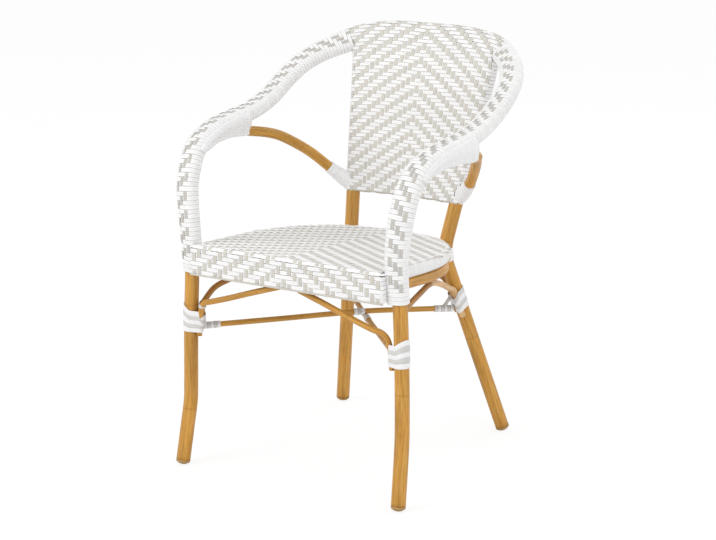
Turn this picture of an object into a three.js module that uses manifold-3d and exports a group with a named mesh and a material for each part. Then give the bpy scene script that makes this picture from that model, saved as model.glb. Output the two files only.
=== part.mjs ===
// Rattan bistro armchair with a twill-woven seat, back and arms on bent poles.
// Millimetres, +Z up, front towards -Y, floor at z = 0, right-hand side at +X.

import * as THREE from 'three';
import { mergeVertices } from 'three/addons/utils/BufferGeometryUtils.js';
import Module from 'manifold-3d';

const wasm = await Module();
wasm.setup();

// The seat's width, which the arms and front legs keep to
const seatWidth = 426;

// Stance, measured between the centres of the feet at the floor
const frontFootOut = 34.4;
const frontFootSpacing = seatWidth + frontFootOut * 2;
const rearFootSpacing = 394.2;
const footDepth = 518;

// Rods, as diameters, and the gap that touching pieces keep
const poleDiameter = 28;
const railDiameter = 21;
const rimDiameter = 18;
const braceDiameter = 18;
const archDiameter = 11.5;
const stretcherDiameter = 11;
const clearance = 0.3;
const overrun = 6;

// The one bent pole that makes both front legs, both arms and the top of the back
const armOut = 42.7;
const armSpacing = seatWidth + armOut * 2;
const hoopFront = 239.6;
const hoopBack = 285;
const hoopHeight = 806.9;
const hoopFootHeight = 398.8;
// From the foot up to where the arm's shape begins, each row x, y, z
const legShares = [[0.255, 0.562, 0.196], [0.438, 0.907, 0.326], [0.474, 0.957, 0.414], [0.65, 0.996, 0.727]];
// Each row: x of half the arm spacing, y of the depth, z of the height above hoopFootHeight
const hoopShares = [
  [0.914, 0.0126, 0], [0.907, 0.001, 0.1633], [0.919, 0, 0.294], [0.935, 0.0095, 0.398],
  [0.955, 0.0653, 0.5395], [0.979, 0.1697, 0.6118], [1, 0.3056, 0.6415], [0.992, 0.45, 0.6613],
  [0.987, 0.5796, 0.7078], [0.984, 0.6892, 0.7781], [0.95, 0.784, 0.8444], [0.867, 0.8662, 0.8969],
  [0.742, 0.9378, 0.9382], [0.6034, 0.9781, 0.9712], [0.341, 0.9949, 0.9967], [0, 1, 1],
];
// Where the flat face of the woven sleeve looks, in degrees, for the same rows: turned outwards, tipped up
const hoopFacings = [
  [15, 0], [15, 0], [15, 2], [15, 18], [10, 44], [5, 71], [0, 82], [-5, 79],
  [-5, 69], [-6, 62], [-12, 58], [-24, 53], [-31.6, 39], [-19, 27], [-6, 20], [0, 17.6],
];

// Rear legs, which run on above the knee as the posts of the back
const rearKneeSpacing = 219.2;
const rearKneeBack = 151.6;
const rearKneeDrop = 61.8;
const kneeRounding = 30;
const postTopSpacing = 316;

// Woven sleeve on the hoop
const sleeveWidth = 49;
const sleeveThickness = 33.6;
const sleevePower = 2.6;

// Woven back, which lies across the fronts of the posts
const panelBottomHeight = 495;
const panelThickness = 8;
const panelBow = 13;
// Up the sheet from its lower edge to the hoop, and how much of the bow is left there
const panelShares = [[0, 1], [0.14, 0.77], [0.28, 0.54], [0.46, 0.35], [0.64, 0.05], [0.84, 0], [1, 0.6]];
const panelBeadDiameter = 12;
const rollDiameter = 35.5;

// Woven seat: its top plane, outline and rim
const seatFrontHeight = 452.8;
const rearKneeHeight = seatFrontHeight - rearKneeDrop;
const seatFallShare = 0.066;
const seatFront = 265;
const seatBack = 153;
const seatWidest = 120;
const rearOutlinePower = 2.4;
const frontOutlinePower = 9;
const rimHeight = 25.2;
const weaveThickness = 3;
const lipThickness = 2.2;
const rimRounding = 7;
const apronHeight = 58;
const apronOut = 2;
const apronWidth = seatWidth + apronOut * 2;
const apronThickness = 7.5;
const sleeveTuck = 2.5;
const endGapShare = 0.25;

// Rails under the seat
const sideRailFall = 7;
// Stations of the side rail between the front leg and the rear leg, as shares of that way
const sideRailShares = [0.12, 0.24, 0.36, 0.48, 0.6, 0.7, 0.8];

// Braces from under the arms down to the posts
const bracePostHeight = 504.5;
const braceHeadDrop = 43.5;
const braceHeadBack = 3.2;
const braceHeadOut = 5.6;
const braceTipFront = 80;
const braceTipDrop = 18.5;
// From the head at the arm to the post: x, y and z as shares of the way
const braceShares = [
  [0, 0, 0], [0.129, 0.19, 0.051], [0.231, 0.328, 0.116], [0.388, 0.517, 0.263],
  [0.527, 0.664, 0.419], [0.689, 0.808, 0.635],
];
const wrapThickness = 1.9;
const saddleFront = 168;
const saddleBack = 2;
const saddleRounding = 0.7;
const braceWrapLength = 52;
const braceWrapFlare = 9;

// Arches under the seat and the crossed stretchers, with rises and drops from the stretchers' height
const stretcherHeight = 275;
const legJointRise = 60;
const frontShoulderShare = 0.487;
const rearShoulderShare = 0.614;
const archShares = [[0.12, 0.86], [0.38, 0.565], [0.62, 0.28], [0.84, 0.03], [0.94, -0.08]];
const archTipShares = [0.25, 0.6, 1];
const archEndDrop = 13;
const sideArchFrontRise = 46;
const sideArchRearRise = 42;
const sideArchRailDrop = 13.3;
const sideArchBow = 5;
// Along the arch from front to rear, and up from its bases to its peak
const sideArchShares = [
  [0.035, 0.34], [0.085, 0.64], [0.184, 0.85], [0.3, 0.945],
  [0.43, 1], [0.58, 0.95], [0.787, 0.56], [0.916, 0.17],
];
const archSeatGap = 0.9;
const frontArchTurn = -43;
const sideArchFrontTurn = 37;
const sideArchRearTurn = -115;
const rearArchTurn = 20;

// Flat binding strips
const legStripWidth = 7.4;
const legStripPitch = 9;
const legStripLean = 0.9;
const frontLegTurns = 4.5;
const rearLegTurns = 3.5;
const stretcherStripWidth = 6.6;
const stretcherStripPitch = 7.4;
const stretcherTurns = 5;
const stretcherWrapStart = 31;
const crossTurns = 3;
const stripThickness = 1.8;
const windingGap = 0.8;
const kneeWrapHeight = 28;
const kneeWrapDrop = 4;

// Domed glides under the feet
const glideDomeDepth = 6;
const glideBandHeight = 3;
const glideFlat = 0.5;
const glideStemDiameter = 8;
const glideStemLength = 14;

// Facet counts
const hoopSteps = 70;
const poleSides = 10;
const rodSides = 8;
const rearLegSteps = 22;
const sideRailSteps = 12;
const braceSteps = 16;
const kneeWrapSteps = 4;
const archSides = 6;
const archSteps = 16;
const sideArchSteps = 30;
const stretcherSteps = 12;
const halvings = 40;
const arcSteps = 4;
const braceWrapSteps = 6;
const postRollSteps = 4;
const panelColumns = 14;
const glideSides = 10;
const outlineSteps = 36;
const sleeveSides = 12;
const legLoopSteps = 16;
const rodLoopSteps = 8;

const poleRadius = poleDiameter / 2;
const railRadius = railDiameter / 2;
const rimRadius = rimDiameter / 2;
const braceRadius = braceDiameter / 2;
const archRadius = archDiameter / 2;
const stretcherRadius = stretcherDiameter / 2;
const sides = { right: 1, left: -1 };
const up = new THREE.Vector3(0, 0, 1);

function point(x, y, z) {
  return new THREE.Vector3(x, y, z);
}

function mix(a, b, share) {
  return a + (b - a) * share;
}

function mirrored(p, side) {
  return point(p.x * side, p.y, p.z);
}

// Colours of the pieces
function finish(color, roughness) {
  return new THREE.MeshStandardMaterial({ color, roughness, metalness: 0 });
}

const bamboo = finish(0xc8964b, 0.45);
const darkBamboo = finish(0xae7434, 0.5);
const weave = finish(0xe4e2dc, 0.5);
const whiteWrap = finish(0xebebee, 0.45);
const binding = finish(0xdcdad6, 0.45);
const glideTan = finish(0xbd9459, 0.6);

// Solids are handed from three.js to the boolean library and back
function volumeOf(geometry) {
  const p = geometry.attributes.position;
  const index = geometry.index;
  const count = index ? index.count : p.count;
  const [a, b, c] = [point(0, 0, 0), point(0, 0, 0), point(0, 0, 0)];
  let sum = 0;
  for (let i = 0; i < count; i += 3) {
    a.fromBufferAttribute(p, index ? index.getX(i) : i);
    b.fromBufferAttribute(p, index ? index.getX(i + 1) : i + 1);
    c.fromBufferAttribute(p, index ? index.getX(i + 2) : i + 2);
    sum += a.dot(b.cross(c));
  }
  return sum;
}

function facingOut(geometry) {
  const bare = geometry.clone();
  bare.deleteAttribute('normal');
  bare.deleteAttribute('uv');
  const merged = mergeVertices(bare);
  if (volumeOf(merged) < 0) {
    const turned = [];
    for (let i = 0; i < merged.index.count; i += 3) {
      turned.push(merged.index.getX(i), merged.index.getX(i + 2), merged.index.getX(i + 1));
    }
    merged.setIndex(turned);
  }
  return merged;
}

function solid(geometry) {
  const merged = facingOut(geometry);
  const vertProperties = new Float32Array(merged.attributes.position.array);
  const triVerts = new Uint32Array(merged.index.array);
  return new wasm.Manifold(new wasm.Mesh({ numProp: 3, vertProperties, triVerts }));
}

function surface(body) {
  const mesh = body.getMesh();
  const geometry = new THREE.BufferGeometry();
  geometry.setAttribute('position', new THREE.BufferAttribute(new Float32Array(mesh.vertProperties), 3));
  geometry.setIndex(Array.from(mesh.triVerts));
  return geometry;
}

function cut(geometry, ...tools) {
  return surface(tools.reduce((body, tool) => body.subtract(solid(tool)), solid(geometry)));
}

function join(geometry, ...others) {
  return surface(others.reduce((body, other) => body.add(solid(other)), solid(geometry)));
}

// A round rod of the given radius along a curve
function rod(path, radius, steps, count = poleSides) {
  const section = new THREE.Shape();
  for (let k = 0; k < count; k += 1) {
    const angle = (2 * Math.PI * k) / count;
    const [x, y] = [radius * Math.cos(angle), radius * Math.sin(angle)];
    if (k === 0) {
      section.moveTo(x, y);
    } else {
      section.lineTo(x, y);
    }
  }
  return facingOut(new THREE.ExtrudeGeometry(section, { steps, extrudePath: path }));
}

// Rings of points joined into a skin. An open stack gets a lid at each end, a closed one meets itself.
function skin(rings, closed = false) {
  const count = rings[0].length;
  const positions = rings.flat().flatMap((p) => p.toArray());
  const index = [];
  const rows = closed ? rings.length : rings.length - 1;
  for (let i = 0; i < rows; i += 1) {
    const next = (i + 1) % rings.length;
    for (let k = 0; k < count; k += 1) {
      const after = (k + 1) % count;
      const [a, b, c, d] = [i * count + k, i * count + after, next * count + after, next * count + k];
      index.push(a, b, c, a, c, d);
    }
  }
  if (!closed) {
    for (const [row, turn] of [[0, 1], [rings.length - 1, 0]]) {
      const middle = point(0, 0, 0);
      rings[row].forEach((p) => middle.add(p));
      middle.divideScalar(count);
      const hub = positions.length / 3;
      positions.push(...middle.toArray());
      for (let k = 0; k < count; k += 1) {
        const [a, b] = [row * count + k, row * count + ((k + 1) % count)];
        index.push(hub, turn ? b : a, turn ? a : b);
      }
    }
  }
  const geometry = new THREE.BufferGeometry();
  geometry.setAttribute('position', new THREE.BufferAttribute(new Float32Array(positions), 3));
  geometry.setIndex(index);
  return facingOut(geometry);
}

// Part of a curve, from one share of its length to another
class Stretch extends THREE.Curve {
  constructor(whole, from, to) {
    super();
    Object.assign(this, { whole, from, to });
  }

  getPoint(t, target = new THREE.Vector3()) {
    return target.copy(this.whole.getPointAt(mix(this.from, this.to, t)));
  }
}

// The share of a curve's length where a measure passes through zero, found by halving
function whereOn(path, from, to, measure) {
  let [low, high] = [from, to];
  const rising = measure(path.getPointAt(to)) > 0;
  for (let i = 0; i < halvings; i += 1) {
    const middle = (low + high) / 2;
    if (measure(path.getPointAt(middle)) > 0 === rising) {
      high = middle;
    } else {
      low = middle;
    }
  }
  return (low + high) / 2;
}

// Feet: the ball of each glide stands on the floor, and the rod starts where the glide's band ends
const glideRadius = poleRadius;
const domeRadius = (glideRadius ** 2 + glideDomeDepth ** 2) / (2 * glideDomeDepth);
const domeAngle = Math.asin(glideRadius / domeRadius);

function footing(floorPoint, above) {
  const axis = above.clone().sub(floorPoint).normalize();
  const centre = floorPoint.clone().addScaledVector(axis, (domeRadius - glideFlat) / axis.z);
  const seat = centre.clone().addScaledVector(axis, glideBandHeight - domeRadius * Math.cos(domeAngle));
  return { axis, centre, seat };
}

// The hoop's curve, from the right foot over the arms and the back to the left foot
const armPoints = hoopShares.map(([x, y, z]) => point(
  x * armSpacing / 2,
  mix(-hoopFront, hoopBack, y),
  mix(hoopFootHeight, hoopHeight, z),
));
const [hoopStart] = armPoints;
const frontFloor = point(frontFootSpacing / 2, -footDepth / 2, 0);
const legPoints = legShares.map(([x, y, z]) => point(
  mix(frontFloor.x, hoopStart.x, x),
  mix(frontFloor.y, hoopStart.y, y),
  mix(frontFloor.z, hoopStart.z, z),
));
const frontFoot = footing(frontFloor, legPoints[0]);
const hoopFoot = frontFoot.seat.clone().addScaledVector(frontFoot.axis, clearance);
const rightHalf = [hoopFoot, ...legPoints, ...armPoints];
const leftHalf = rightHalf.slice(0, -1).reverse().map((p) => mirrored(p, sides.left));
const hoopCurve = new THREE.CatmullRomCurve3([...rightHalf, ...leftHalf], false, 'centripetal');
hoopCurve.arcLengthDivisions = 1600;
const facings = [...legPoints.map(() => hoopFacings[0]), hoopFacings[0], ...hoopFacings];
const facingRight = facings.map(([turn, tip]) => point(turn, tip, 0));
const facingLeft = facingRight.slice(0, -1).reverse().map((p) => mirrored(p, sides.left));
const facingCurve = new THREE.CatmullRomCurve3([...facingRight, ...facingLeft], false, 'centripetal');

function hoopStation(u) {
  const t = hoopCurve.getUtoTmapping(u);
  const turn = THREE.MathUtils.degToRad(facingCurve.getPoint(t).x);
  const tip = THREE.MathUtils.degToRad(facingCurve.getPoint(t).y);
  const along = hoopCurve.getTangent(t);
  const face = point(Math.sin(turn) * Math.cos(tip), -Math.cos(turn) * Math.cos(tip), Math.sin(tip));
  face.addScaledVector(along, -face.dot(along)).normalize();
  return { middle: hoopCurve.getPoint(t), along, face, across: along.clone().cross(face) };
}

function roundedPower(value, power) {
  return Math.sign(value) * Math.abs(value) ** (2 / power);
}

function sleeveRing(u, grow) {
  const { middle, face, across } = hoopStation(u);
  const ring = [];
  for (let k = 0; k < sleeveSides; k += 1) {
    const angle = (2 * Math.PI * (k + 0.5)) / sleeveSides;
    ring.push(middle.clone()
      .addScaledVector(across, (sleeveWidth / 2 + grow) * roundedPower(Math.cos(angle), sleevePower))
      .addScaledVector(face, (sleeveThickness / 2 + grow) * roundedPower(Math.sin(angle), sleevePower)));
  }
  return ring;
}

// The hoop's own stations between two shares of its length, with both ends
function hoopStations(from, to) {
  const stations = [from];
  for (let i = 0; i <= hoopSteps; i += 1) {
    const u = i / hoopSteps;
    if (u > from + endGapShare / hoopSteps && u < to - endGapShare / hoopSteps) {
      stations.push(u);
    }
  }
  return [...stations, to];
}

function sleeveBody(from, to, grow = 0) {
  return skin(hoopStations(from, to).map((u) => sleeveRing(u, grow)));
}

function seatTop(y) {
  return seatFrontHeight - seatFallShare * (y + seatFront);
}

const apronBottom = seatTop(-seatFront) - apronHeight;
const half = 0.5;
const armMiddle = whereOn(hoopCurve, 0, half, (p) => p.y);
const sleeveStart = whereOn(hoopCurve, 0, armMiddle, (p) => p.z - (apronBottom - sleeveTuck));
const sleeveEnd = whereOn(hoopCurve, armMiddle, half, (p) => p.x - (postTopSpacing + rollDiameter) / 2);
const hoopLength = hoopCurve.getLength();
const splitShare = clearance / hoopLength / 2;

function hoopRange(side, from, to) {
  return side > 0 ? [from, to] : [1 - to, 1 - from];
}

function hoopPole(grow = 0) {
  return rod(hoopCurve, poleRadius + grow, hoopSteps);
}

function frontLegAt(z, side) {
  const u = whereOn(hoopCurve, 0, armMiddle, (p) => p.z - z);
  return mirrored(hoopCurve.getPointAt(u), side);
}

// Rear legs
const rearFloor = point(rearFootSpacing / 2, footDepth / 2, 0);
const rearKnee = point(rearKneeSpacing / 2, rearKneeBack, rearKneeHeight);
const rearFoot = footing(rearFloor, rearKnee);
const postTop = hoopCurve.getPointAt(whereOn(hoopCurve, armMiddle, half, (p) => p.x - postTopSpacing / 2));
const postAxis = postTop.clone().sub(rearKnee).normalize();

function rearPath(side) {
  const start = mirrored(rearFoot.seat.clone().addScaledVector(rearFoot.axis, clearance), side);
  const knee = mirrored(rearKnee, side);
  const top = mirrored(postTop.clone().addScaledVector(postAxis, -poleRadius / 2), side);
  const below = knee.clone().addScaledVector(mirrored(rearFoot.axis, side), -kneeRounding);
  const above = knee.clone().addScaledVector(mirrored(postAxis, side), kneeRounding);
  const path = new THREE.CurvePath();
  path.add(new THREE.LineCurve3(start, below));
  path.add(new THREE.QuadraticBezierCurve3(below, knee, above));
  path.add(new THREE.LineCurve3(above, top));
  path.arcLengthDivisions = 800;
  return path;
}

function rearPole(side, grow = 0) {
  return rod(rearPath(side), poleRadius + grow, rearLegSteps);
}

function rearLegAt(z, side) {
  const path = rearPath(side);
  return path.getPointAt(whereOn(path, 0, 1, (p) => p.z - z));
}

const postEnd = rearPath(sides.right).getPointAt(1);
const postAtPanel = rearLegAt(panelBottomHeight, sides.right);

function stem(foot, side, grow) {
  const axis = mirrored(foot.axis, side);
  const from = mirrored(foot.seat, side).addScaledVector(axis, -overrun);
  const to = mirrored(foot.seat, side).addScaledVector(axis, glideStemLength + grow);
  return rod(new THREE.LineCurve3(from, to), glideStemDiameter / 2 + grow, 1, rodSides);
}

function glide(foot, side) {
  const profile = [];
  for (let k = 0; k <= arcSteps; k += 1) {
    const angle = (domeAngle * k) / arcSteps;
    profile.push(new THREE.Vector2(domeRadius * Math.sin(angle), -domeRadius * Math.cos(angle)));
  }
  const top = profile[arcSteps].y + glideBandHeight;
  profile.push(new THREE.Vector2(glideRadius, top));
  profile.push(new THREE.Vector2(0, top));
  const dome = new THREE.LatheGeometry(profile, glideSides);
  const axis = mirrored(foot.axis, side);
  const centre = mirrored(foot.centre, side);
  dome.applyQuaternion(new THREE.Quaternion().setFromUnitVectors(point(0, 1, 0), axis));
  dome.translate(...centre.toArray());
  const ground = new THREE.BoxGeometry(poleDiameter * 2, poleDiameter * 2, poleDiameter);
  ground.translate(centre.x, centre.y, -poleDiameter / 2);
  return cut(join(dome, stem(foot, side, 0)), ground);
}

// Woven back: its front face meets the fronts of the rolls round the posts, and bows back between them
function panelAt(share, rise, bowShare) {
  const x = Math.abs(share) * postTopSpacing / 2;
  const onHoop = hoopCurve.getPointAt(whereOn(hoopCurve, armMiddle, half, (p) => p.x - x));
  const post = postAtPanel.clone().lerp(postEnd, rise);
  const y = post.y - (rollDiameter - panelThickness) / 2 + panelBow * bowShare * (1 - share ** 2);
  return point(post.x * share, y, mix(panelBottomHeight, onHoop.z, rise));
}

function panelPlate() {
  const [near, far] = [point(0, -panelThickness / 2, 0), point(0, panelThickness / 2, 0)];
  const rings = [];
  for (let k = 0; k <= panelColumns; k += 1) {
    const column = panelShares.map(([rise, bowShare]) => panelAt((2 * k) / panelColumns - 1, rise, bowShare));
    rings.push([
      ...column.map((p) => p.clone().add(near)),
      ...column.reverse().map((p) => p.clone().add(far)),
    ]);
  }
  return skin(rings);
}

function panelBead() {
  const lowest = [];
  for (let k = 0; k <= panelColumns; k += 1) {
    lowest.push(panelAt((2 * k) / panelColumns - 1, ...panelShares[0]));
  }
  return rod(new THREE.CatmullRomCurve3(lowest), panelBeadDiameter / 2, panelColumns, rodSides);
}

function postRoll(side, grow = 0) {
  const path = rearPath(side);
  const from = whereOn(path, 0, 1, (p) => p.z - (panelBottomHeight - panelBeadDiameter / 2));
  return rod(new Stretch(path, from, 1), rollDiameter / 2 + grow, postRollSteps);
}

function backWeave() {
  const crown = sleeveBody(sleeveEnd + splitShare, 1 - sleeveEnd - splitShare);
  const body = join(crown, panelPlate(), panelBead(), postRoll(sides.right), postRoll(sides.left));
  return cut(body, hoopPole(clearance), rearPole(sides.right, clearance), rearPole(sides.left, clearance));
}

function armSleeve(side) {
  const body = sleeveBody(...hoopRange(side, sleeveStart, sleeveEnd - splitShare));
  return cut(body, hoopPole(clearance), postRoll(side, clearance));
}

// Everything that the sleeve takes up on one side, for pieces that stop against it
function sleeveSpace(side) {
  return sleeveBody(...hoopRange(side, sleeveStart, sleeveEnd), clearance);
}

// Seat: a shallow tray of weave over a bent rim
function seatOutline(inset, drop) {
  const ring = [];
  for (let k = 0; k < outlineSteps; k += 1) {
    const angle = (2 * Math.PI * (k + half)) / outlineSteps;
    const rear = Math.sin(angle) > 0;
    const power = rear ? rearOutlinePower : frontOutlinePower;
    const reach = (rear ? seatBack + seatWidest : seatFront - seatWidest) - inset;
    const x = (seatWidth / 2 - inset) * roundedPower(Math.cos(angle), power);
    const y = reach * roundedPower(Math.sin(angle), power) - seatWidest;
    ring.push(point(x, y, seatTop(y) - drop));
  }
  return ring;
}

const rimInset = lipThickness + clearance + rimRadius;
const rimDrop = weaveThickness + clearance + rimRadius;

function seatWeave() {
  const tray = skin([
    seatOutline(rimRounding, 0),
    seatOutline(0, rimRounding),
    seatOutline(0, rimHeight - rimRounding),
    seatOutline(lipThickness, rimHeight),
    seatOutline(lipThickness * 2, rimHeight),
    seatOutline(lipThickness, rimHeight - rimRounding),
    seatOutline(lipThickness, rimRounding),
    seatOutline(lipThickness + rimRounding - weaveThickness, weaveThickness),
  ]);
  const underRim = seatTop(-seatFront) - rimDrop - rimRadius - clearance * 2;
  const skirtHeight = underRim - apronBottom;
  const skirt = new THREE.BoxGeometry(apronWidth, apronThickness, skirtHeight);
  skirt.translate(0, apronThickness / 2 - seatFront, apronBottom + skirtHeight / 2);
  const faceHeight = apronHeight - rimRounding;
  const face = new THREE.BoxGeometry(apronWidth, lipThickness, faceHeight);
  face.translate(0, lipThickness / 2 - seatFront, apronBottom + faceHeight / 2);
  return cut(join(tray, skirt, face), sleeveSpace(sides.right), sleeveSpace(sides.left));
}

function seatRim() {
  const middle = seatOutline(rimInset, rimDrop);
  const rings = middle.map((p, k) => {
    const before = middle[(k + outlineSteps - 1) % outlineSteps];
    const after = middle[(k + 1) % outlineSteps];
    const along = after.clone().sub(before).normalize();
    const outward = along.clone().cross(up).normalize();
    const upward = outward.clone().cross(along);
    const ring = [];
    for (let j = 0; j < rodSides; j += 1) {
      const angle = (2 * Math.PI * j) / rodSides;
      ring.push(p.clone()
        .addScaledVector(outward, rimRadius * Math.cos(angle))
        .addScaledVector(upward, rimRadius * Math.sin(angle)));
    }
    return ring;
  });
  return skin(rings, true);
}

// Rails under the seat
const railDrop = rimHeight + clearance + railRadius;

function railHeight(y, fall) {
  return seatTop(y) - railDrop - fall;
}

const frontRailHeight = railHeight(hoopStart.y, 0);
const rearRailHeight = railHeight(rearKneeBack, 0);
const sideRailRearHeight = railHeight(rearKneeBack, sideRailFall);

function frontRail(grow = 0) {
  const ends = [sides.left, sides.right].map((side) => frontLegAt(frontRailHeight, side));
  return rod(new THREE.LineCurve3(...ends), railRadius + grow, 1, rodSides);
}

function rearRail(grow = 0) {
  const ends = [sides.left, sides.right].map((side) => rearLegAt(rearRailHeight, side));
  return rod(new THREE.LineCurve3(...ends), railRadius + grow, 1, rodSides);
}

function sideRail(side, grow = 0) {
  const front = frontLegAt(frontRailHeight, side);
  const rear = rearLegAt(sideRailRearHeight, side);
  const middle = sideRailShares.map((share) => {
    const y = mix(front.y, rear.y, share);
    const reach = (y < -seatWidest ? seatFront - seatWidest : seatBack + seatWidest) - rimInset;
    const power = y < -seatWidest ? frontOutlinePower : rearOutlinePower;
    const around = (1 - Math.abs((y + seatWidest) / reach) ** power) ** (1 / power);
    return point(side * (seatWidth / 2 - rimInset) * around, y, railHeight(y, sideRailFall * share));
  });
  const path = new THREE.CatmullRomCurve3([front, ...middle, rear]);
  return rod(path, railRadius + grow, sideRailSteps, rodSides);
}

// Braces and the smooth wraps at their ends
const postAtBrace = rearLegAt(bracePostHeight, sides.right);

function armHeight(y) {
  return hoopCurve.getPointAt(whereOn(hoopCurve, 0, half, (p) => p.y - y)).z;
}

const braceHead = point(
  armSpacing / 2 + braceHeadOut,
  braceHeadBack,
  armHeight(braceHeadBack) - braceHeadDrop,
);
const braceTip = point(
  (armSpacing + braceHeadOut) / 2,
  -braceTipFront,
  armHeight(-braceTipFront) - braceTipDrop,
);
const bracePoints = [
  braceTip,
  braceTip.clone().lerp(braceHead, half),
  ...braceShares.map(([x, y, z]) => point(
    mix(braceHead.x, postAtBrace.x, x),
    mix(braceHead.y, postAtBrace.y, y),
    mix(braceHead.z, postAtBrace.z, z),
  )),
  postAtBrace,
];

function bracePath(side) {
  return new THREE.CatmullRomCurve3(bracePoints.map((p) => mirrored(p, side)), false, 'centripetal');
}

function braceRod(side, grow = 0) {
  return rod(bracePath(side), braceRadius + grow, braceSteps, rodSides);
}

function armBrace(side) {
  return cut(braceRod(side), sleeveSpace(side), postRoll(side, clearance));
}

// The wrap hangs from the sides of the arm's sleeve down round the brace
function saddleWrap(side) {
  const path = bracePath(sides.right);
  const from = whereOn(hoopCurve, 0, half, (p) => p.y + saddleFront);
  const to = whereOn(hoopCurve, 0, half, (p) => p.y - saddleBack);
  const rings = hoopStations(from, to).map((u) => {
    const { middle, face, across } = hoopStation(u);
    const y = Math.max(middle.y, bracePoints[0].y);
    const brace = path.getPointAt(whereOn(path, 0, 1, (p) => p.y - y));
    const leading = THREE.MathUtils.clamp((middle.y + saddleFront) / (saddleFront - braceTipFront), 0, 1);
    const braceDepth = mix(sleeveThickness / 2, middle.z - brace.z + braceRadius, leading) + wrapThickness;
    const shift = (brace.x - middle.x) * leading * Math.sign(across.x);
    const halfWidth = sleeveWidth / 2 + wrapThickness;
    const foot = (braceRadius + wrapThickness) * saddleRounding;
    const shoulder = mix(halfWidth, braceRadius + wrapThickness, half);
    const outline = [
      [halfWidth, 0], [halfWidth, -sleeveThickness / 4],
      [shoulder + shift / 2, -braceDepth * saddleRounding], [foot + shift, -braceDepth],
      [-foot + shift, -braceDepth], [-shoulder + shift / 2, -braceDepth * saddleRounding],
      [-halfWidth, -sleeveThickness / 4], [-halfWidth, 0],
    ];
    return outline.map(([a, b]) => mirrored(
      middle.clone().addScaledVector(across, a).addScaledVector(face, b), side,
    ));
  });
  return cut(skin(rings), sleeveSpace(side), braceRod(side, clearance));
}

function braceWrap(side) {
  const path = bracePath(side);
  const length = path.getLength();
  const rings = [];
  for (let i = 0; i <= braceWrapSteps; i += 1) {
    const share = i / braceWrapSteps;
    const u = 1 - (braceWrapLength / length) * (1 - share);
    const along = path.getTangentAt(u);
    const across = along.clone().cross(up).normalize();
    const upward = across.clone().cross(along);
    const flare = braceWrapFlare * share ** 2;
    const ring = [];
    for (let k = 0; k < rodSides + 2; k += 1) {
      const angle = (2 * Math.PI * k) / (rodSides + 2);
      ring.push(path.getPointAt(u)
        .addScaledVector(across, (braceRadius + wrapThickness + clearance) * Math.cos(angle))
        .addScaledVector(upward, (braceRadius + wrapThickness + clearance + flare) * Math.sin(angle)));
    }
    rings.push(ring);
  }
  const aroundPost = rearPole(side, (rollDiameter - poleDiameter) / 2 + clearance);
  return cut(skin(rings), braceRod(side, clearance), aroundPost, panelPlate());
}

const archEndHeight = stretcherHeight - archEndDrop;
const sideArchFrontBase = stretcherHeight + sideArchFrontRise;
const sideArchRearBase = stretcherHeight + sideArchRearRise;
const sideArchPeak = sideRailRearHeight - sideArchRailDrop;

// Where a leg meets its stretcher: the leg's axis, and the ways inwards and backwards square to it
function legJoint(legAt, side) {
  const low = legAt(stretcherHeight, side);
  const axis = legAt(stretcherHeight + legJointRise, side).sub(low).normalize();
  const inward = point(-side, 0, 0).addScaledVector(axis, side * axis.x).normalize();
  const backward = point(0, 1, 0).addScaledVector(axis, -axis.y);
  backward.addScaledVector(inward, -backward.dot(inward)).normalize();
  return { low, axis, inward, backward };
}

const besideLeg = poleRadius + archRadius + archSeatGap;

function tipOffset(joint, turn) {
  const angle = THREE.MathUtils.degToRad(turn);
  return point(0, 0, 0)
    .addScaledVector(joint.inward, besideLeg * Math.cos(angle))
    .addScaledVector(joint.backward, besideLeg * Math.sin(angle));
}

// A point on the tip of an arch that lies along the leg, at a height
function tipAt(joint, turn, z) {
  const rise = (z - joint.low.z) / joint.axis.z;
  return joint.low.clone().addScaledVector(joint.axis, rise).add(tipOffset(joint, turn));
}

// A peaked arch between two legs, its ends lying along them
function peakedArch(legAt, turn, apexHeight, apexY, shoulderShare) {
  const shoulderHeight = mix(stretcherHeight, apexHeight, shoulderShare);
  const ends = [sides.right, sides.left].map((side) => {
    const joint = legJoint(legAt, side);
    const shoulder = tipAt(joint, turn, shoulderHeight);
    const drop = archTipShares.map((share) => tipAt(joint, turn, mix(shoulderHeight, archEndHeight, share)));
    const slope = archShares.map(([x, z]) => point(
      shoulder.x * x,
      mix(apexY, shoulder.y, Math.min(1, 1 - z)),
      mix(shoulderHeight, apexHeight, z),
    ));
    return [...slope, ...drop];
  });
  const path = [...ends[1].reverse(), point(0, apexY, apexHeight), ...ends[0]];
  return rod(new THREE.CatmullRomCurve3(path, false, 'centripetal'), archRadius, archSteps * 2, archSides);
}

const frontArchApex = frontRailHeight - railRadius - archRadius - clearance;
const rearArchApex = rearRailHeight - railRadius - archRadius - clearance;

function frontArch() {
  const y = tipAt(legJoint(frontLegAt, sides.right), frontArchTurn, frontArchApex).y;
  return peakedArch(frontLegAt, frontArchTurn, frontArchApex, y, frontShoulderShare);
}

function rearArch() {
  return peakedArch(rearLegAt, rearArchTurn, rearArchApex, rearKneeBack, rearShoulderShare);
}

const sideTipEnd = stretcherHeight + stretcherRadius + archSeatGap * 2;

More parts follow.
